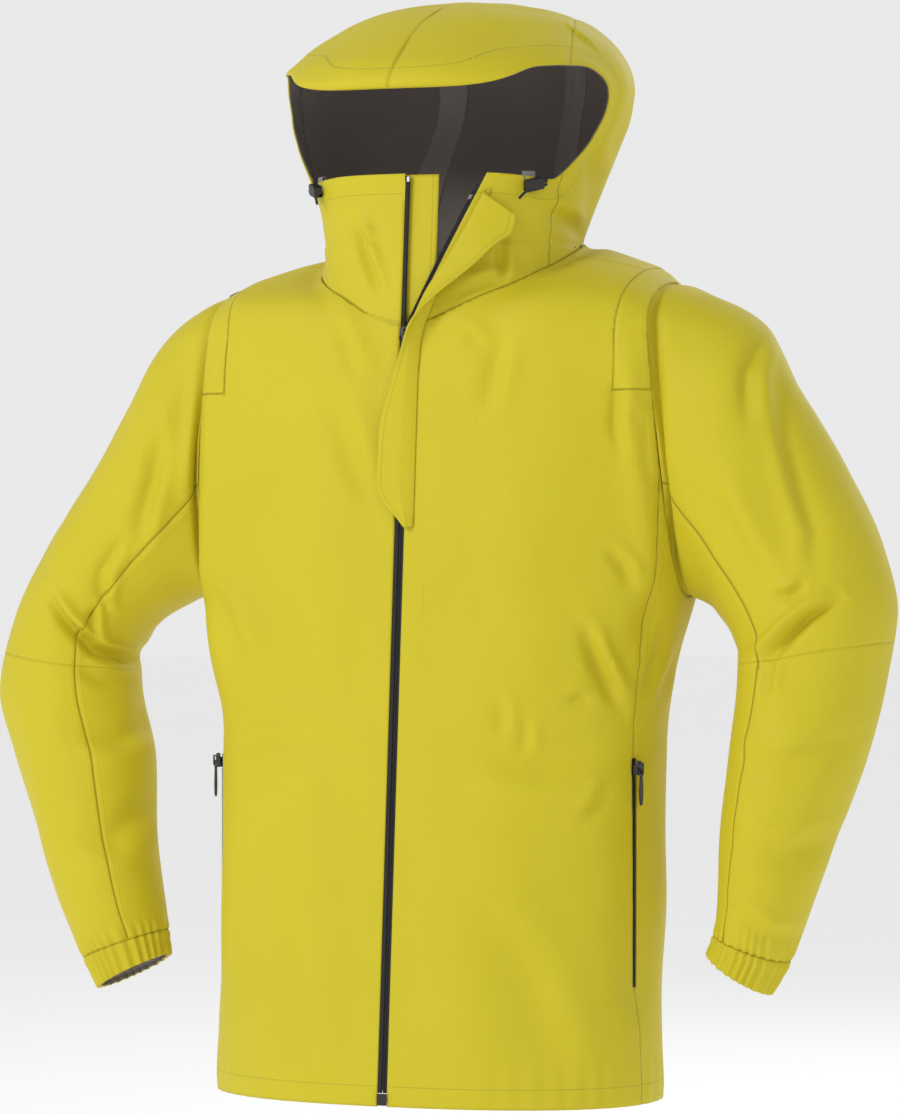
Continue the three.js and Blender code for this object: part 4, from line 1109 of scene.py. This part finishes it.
def front_depth(x, z):
    """Depth of the smooth front at places across and heights."""
    forms = [PROFILES[id(HOOD)], PROFILES[id(BODY)]]
    a, back, front = (
        np.where(z > HOOD_FROM, *(np.interp(z, form[:, 0], form[:, k]) for form in forms)) for k in (1, 2, 3)
    )
    share = (1 - np.clip(np.abs(x) / a, 0, 1) ** ROUNDNESS) ** (1 / ROUNDNESS)
    return (front + back) / 2 - (back - front) / 2 * share


def lapel_at(z):
    return np.clip((z - FORK) / (LAPEL[1] - FORK), 0, None) * LAPEL[0]


def straight(z):
    return z * 0


def strip(name, edge, low, high, across, out, finishes, thickness, columns):
    """A strip up the front: an edge line, from one distance beside it to another, at a depth."""
    width = across[1] - across[0]

    def wrap(u, v):
        z = low + (high - low) * v
        x = edge(z) + across[0] + width * u
        p = np.stack([x, front_depth(x, z) + out, z], 1)
        way = np.tile([0.0, -1.0, 0.08], (len(u), 1))
        return p, way, {"seam": np.full(len(u), FAR), "stitch": (1 - u) * width - 5, "run": z}
    cloth = sheet(columns, STRIP_ROWS)
    return sewn(name, cloth, wrap, finishes, abs(width) / 1000, (high - low) / 1000, thickness)


ZIP_FOOT, COLLAR_TOP = 12.0, 837.0
for side, edge, top, across in (
    ("right", straight, COLLAR_TOP - 2, (-12, -0.3)), ("left", lapel_at, LAPEL[1] + 4, (0.3, 12)),
):
    tape = strip("tape_" + side, edge, ZIP_FOOT, top, across, 1.0, [ZIP_TAPE], 0.7, 6)
    dressed(tape, "jacket", "trim", "zip_tape_" + side)
wind = strip("wind_flap", straight, 14, COLLAR_TOP - 1, (-20, 26), 4.2, [SHELL, SHELL], 1.0, 16)
dressed(wind, "jacket", "shell", "inner_flap")


# %% Coils
PITCH, POCKET_FACING = 1.9, 0.1636
BEAD, POCKET_BEAD = (0.0030, 0.0013, 0.0015), (0.0046, 0.0013, 0.0015)


def coil(name, places, size):
    """Small rounded beads at places, one for each loop of the coil."""
    bm = bmesh.new()
    for x, y, z, turn in places:
        bead = bmesh.ops.create_icosphere(bm, subdivisions=1, radius=0.5)["verts"]
        bmesh.ops.scale(bm, vec=size, verts=bead)
        bmesh.ops.rotate(bm, cent=(0, 0, 0), matrix=Matrix.Rotation(turn, 3, "Z"), verts=bead)
        bmesh.ops.translate(bm, vec=(x, y, z), verts=bead)
    return finished(name, bm, [COIL])


for side, edge, top, shift in (
    ("right", straight, COLLAR_TOP - 6, -1.2), ("left", lapel_at, LAPEL[1] - 2, 1.2),
):
    heights = np.arange(ZIP_FOOT + 2, top, PITCH) + (PITCH / 2 if side == "left" else 0)
    across = edge(heights) + shift
    places = in_frame(np.stack([across, front_depth(across, heights) + 0.2, heights], 1))
    made = coil("coil_" + side, [(*p, 0.0) for p in places], BEAD)
    dressed(made, "jacket", "trim", "zip_coil_" + side)
for side in ("left", "right"):
    low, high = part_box("pocket_zip_coil_" + side)
    facing = POCKET_FACING * SIGN[side]
    x = (low.x + high.x) / 2 + SIGN[side] * 0.0006 * math.cos(facing)
    y, turn = (low.y + high.y) / 2, math.pi / 2 - facing
    heights = np.arange(low.z + 0.001, high.z - 0.001, PITCH / 1000)
    made = coil("pocket_coil_" + side, [(x, y, z, turn) for z in heights], POCKET_BEAD)
    dressed(made, "jacket", "trim", "pocket_zip_coil_" + side)

# %% [markdown]
# ### Storm flap
# A doubled strip sewn beside the zip on the wearer's left. Below the collar it lies over the
# zip; above, it turns outwards with the collar's edge.

# %% Storm flap
FLAP = np.array([
    (517, 14, -1, 9, -6, 6, -6), (557, 14, -1, 6, -6.5, -21, -6.5), (604, 14, -1, 6, -6.5, -20, -7),
    (640, 14, -1, 6, -7, -11, -9), (680, 16, -1.2, 9, -9, 3, -14), (700, 20, -1.5, 12, -10, 12, -18),
    (714, 25, -1.5, 15, -9, 23, -20), (728, 30, -1.5, 19, -8, 38, -19), (744, 38, -1.5, 26, -7, 57, -16),
    (760, 46, -1.5, 34, -6, 73, -13), (778, 54, -1.5, 43, -5.5, 86, -10), (795, 62, -1.5, 51, -5, 94, -8),
    (822, 74, -1.5, 64, -4, 97, -7),
], float)


def flap_wrap(u, v):
    z, sx, so, bx, bo, ex, eo = along(FLAP, v).T
    turn, reach = soft(u, 0, 0.3), np.clip((u - 0.12) / 0.88, 0, 1)
    x = sx + (bx - sx) * turn + (ex - bx) * reach
    out = so + (bo - so) * turn + (eo - bo) * reach
    z = z - 24 * reach * soft(v, 0.8, 1)
    p = np.stack([x, (front_depth(sx, z) + front_depth(x, z)) / 2 + out, z], 1)
    p[:, 1] += waves(p, 8, 90) * 0.8 * reach
    way = np.tile([0.0, -1.0, 0.08], (len(u), 1))
    width = np.hypot(ex - bx, eo - bo) + 6
    return p, way, {"seam": u * width, "stitch": (1 - u) * width - 5, "run": z}


flap = sewn("storm_flap_cloth", sheet(26, 150), flap_wrap, [SHELL, SHELL], 0.045, 0.3, 1.7)
dressed(flap, "jacket", "shell", "storm_flap")

# %% [markdown]
# ## Hang loop, cord locks and cords
# A folded webbing loop at the back of the neck, a webbing tab over the collar's edge that holds
# each cord lock, and the short end of cord that stands out of each lock.

# %% Webbing and cords
loop_low, loop_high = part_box("hang_loop")


def loop_wrap(u, v):
    turn = np.pi * v
    half = (loop_high.x - loop_low.x) * 500 - 1
    x = -half * np.cos(turn)
    base = (loop_low.z - HEM) * 1000
    rise = (loop_high.z - loop_low.z) * 1000 - 1
    z = base + rise * np.sin(turn) ** 0.45
    y = ((loop_low.y + loop_high.y) / 2 - DEPTH) * 1000 + (u - 0.5) * 9
    p = np.stack([x, y, z], 1)
    way = np.stack([-np.cos(turn), turn * 0, np.sin(turn)], 1)
    far = np.full(len(u), 99.0)
    return p, way, {"seam": far, "stitch": far, "run": v * 90}


loop = sewn("neck_loop", sheet(8, 48), loop_wrap, [ZIP_TAPE], 0.009, 0.09, 1.2)
dressed(loop, "jacket", "trim", "hang_loop")

LOCK_FACING, LOCK_TILT = -0.7128, math.radians(-14)
CORD_ROUTE = [
    (12, -1.7, -2.2), (9, -1.9, -2.8), (5, -2.2, -3), (0, -2.4, -3),
    (-5, -2.4, -3.1), (-10, -2.6, -3.6), (-15, -3.4, -5.4), (-20, -3.8, -8.6),
]
for side in ("left", "right"):
    way = SIGN[side]
    centre = np.array(middle("cord_lock_body_" + side))
    tab_low, tab_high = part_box("cord_lock_tab_" + side)
    out = np.array([math.cos(LOCK_FACING) * way, math.sin(LOCK_FACING), 0])
    turn = math.pi / 2 + LOCK_FACING
    flatness = math.cos(LOCK_TILT)
    ahead = np.array([flatness * math.cos(turn) * way, flatness * math.sin(turn), -math.sin(LOCK_TILT)])
    flat_way = np.array([ahead[0], ahead[1], 0]) / np.hypot(ahead[0], ahead[1])
    seat = np.array([(tab_low.x + tab_high.x) / 2, (tab_low.y + tab_high.y) / 2, tab_high.z])

    def tab_wrap(u, v, out=out, flat_way=flat_way, seat=seat):
        turn = np.pi * np.clip((v - 0.35) / 0.3, 0, 1)
        side_out = -2.0 * np.cos(turn)
        drop = np.where(v < 0.35, (0.35 - v) * 26, np.where(v > 0.65, (v - 0.65) * 34, 0))
        rise = 2.0 * np.sin(turn)
        metres = seat + out * side_out[:, None] / 1000 + flat_way * ((u - 0.5) * 12)[:, None] / 1000
        metres[:, 2] += (rise - drop - 6.0) / 1000
        way = np.outer(-np.cos(turn), out) + np.outer(np.sin(turn), (0, 0, 1))
        far = np.full(len(u), 99.0)
        return (metres - SHIFT) * 1000, way, {"seam": far, "stitch": far, "run": v * 30}

    tab = sewn("lock_tab_" + side, sheet(8, 40), tab_wrap, [GREY_WEB], 0.009, 0.03, 1.0)
    dressed(tab, "jacket", "webbing", "cord_lock_tab_" + side)

    across = -out
    upright = np.cross(ahead, across) * way
    line = bpy.data.curves.new("cord_end_" + side, "CURVE")
    line.dimensions, line.bevel_depth, line.bevel_resolution, line.use_fill_caps = "3D", 0.0013, 3, True
    spline = line.splines.new("NURBS")
    spline.points.add(len(CORD_ROUTE) - 1)
    for point, (a, b, c) in zip(spline.points, CORD_ROUTE):
        point.co = (*(centre + (ahead * a + across * b + upright * c) / 1000), 1)
    spline.use_endpoint_u, spline.order_u = True, 4
    line.materials.append(CORD.material)
    cord_end = bpy.data.objects.new("cord_end_" + side, line)
    scene.collection.objects.link(cord_end)
    dressed(cord_end, "jacket", "trim", "hood_cord_" + side)

# %% [markdown]
# ## Hard pieces
# The sliders, pulls, stops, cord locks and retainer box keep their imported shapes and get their
# finishes.

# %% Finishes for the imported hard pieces
HARD = {
    "main_zip_slider": GUNMETAL, "main_zip_pull": PLASTIC, "zip_retainer_box": PLASTIC,
    "top_stop_right": STEEL, "top_stop_left": STEEL,
    **{f"{piece}_{side}": finish for side in ("left", "right") for piece, finish in (
        ("pocket_zip_slider", GUNMETAL), ("pocket_zip_pull", PLASTIC), ("cord_lock_body", PLASTIC),
        ("cord_lock_plunger", PLASTIC), ("cord_lock_spring", STEEL))},
}
for node, finish in HARD.items():
    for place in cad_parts[node].material_slots:
        place.link = "OBJECT"
        place.material = finish.material
print("hard pieces finished", len(HARD))

# %% [markdown]
# ## Floor and light
# A plain pale floor well under the hem, one wide soft light from the wearer's right, a weaker
# one opposite, and a pale surround.

# %% Floor and light
bm = bmesh.new()
bmesh.ops.create_circle(bm, cap_ends=True, radius=30, segments=64)
bmesh.ops.translate(bm, vec=(0, 0, HEM - 0.35), verts=bm.verts)
ground = Finish("pale_floor", Roughness=0.9, Emission_Color=(1, 1, 1, 1), Emission_Strength=0.27)
ground.set("Base Color", ground.blend(ground.noise(3.0, 2), linear(251, 251, 251), linear(247, 247, 247)))
floor = finished("floor", bm, [ground])

surround = bpy.data.worlds.new("studio")
surround.use_nodes = True
nodes, links = surround.node_tree.nodes, surround.node_tree.links
background = nodes["Background"]
background.inputs["Color"].default_value = (1, 1, 1, 1)
kinds = ("TexCoord", "SeparateXYZ", "MapRange")
direction, height, overhead = (nodes.new("ShaderNode" + kind) for kind in kinds)
links.new(direction.outputs["Generated"], height.inputs[0])
links.new(height.outputs["Z"], overhead.inputs["Value"])
for key, value in (("From Min", 0.12), ("From Max", 0.6), ("To Min", 0.82), ("To Max", 0.50)):
    overhead.inputs[key].default_value = value
links.new(overhead.outputs[0], background.inputs["Strength"])
scene.world = surround


def soft_light(name, place, power, size):
    light = bpy.data.lights.new(name, "AREA")
    light.energy, light.size = power, size
    lamp = bpy.data.objects.new(name, light)
    scene.collection.objects.link(lamp)
    lamp.location = place
    aim = Vector((0, DEPTH, HEM + 0.5)) - Vector(place)
    lamp.rotation_euler = aim.to_track_quat("-Z", "Y").to_euler()


soft_light("key", (-1.9, -3.4, 2.0), 66, 1.3)
soft_light("fill", (3.2, -2.6, 0.4), 4, 2.4)
soft_light("rear", (0.5, 3.2, 1.6), 30, 2.4)
print("lights placed")
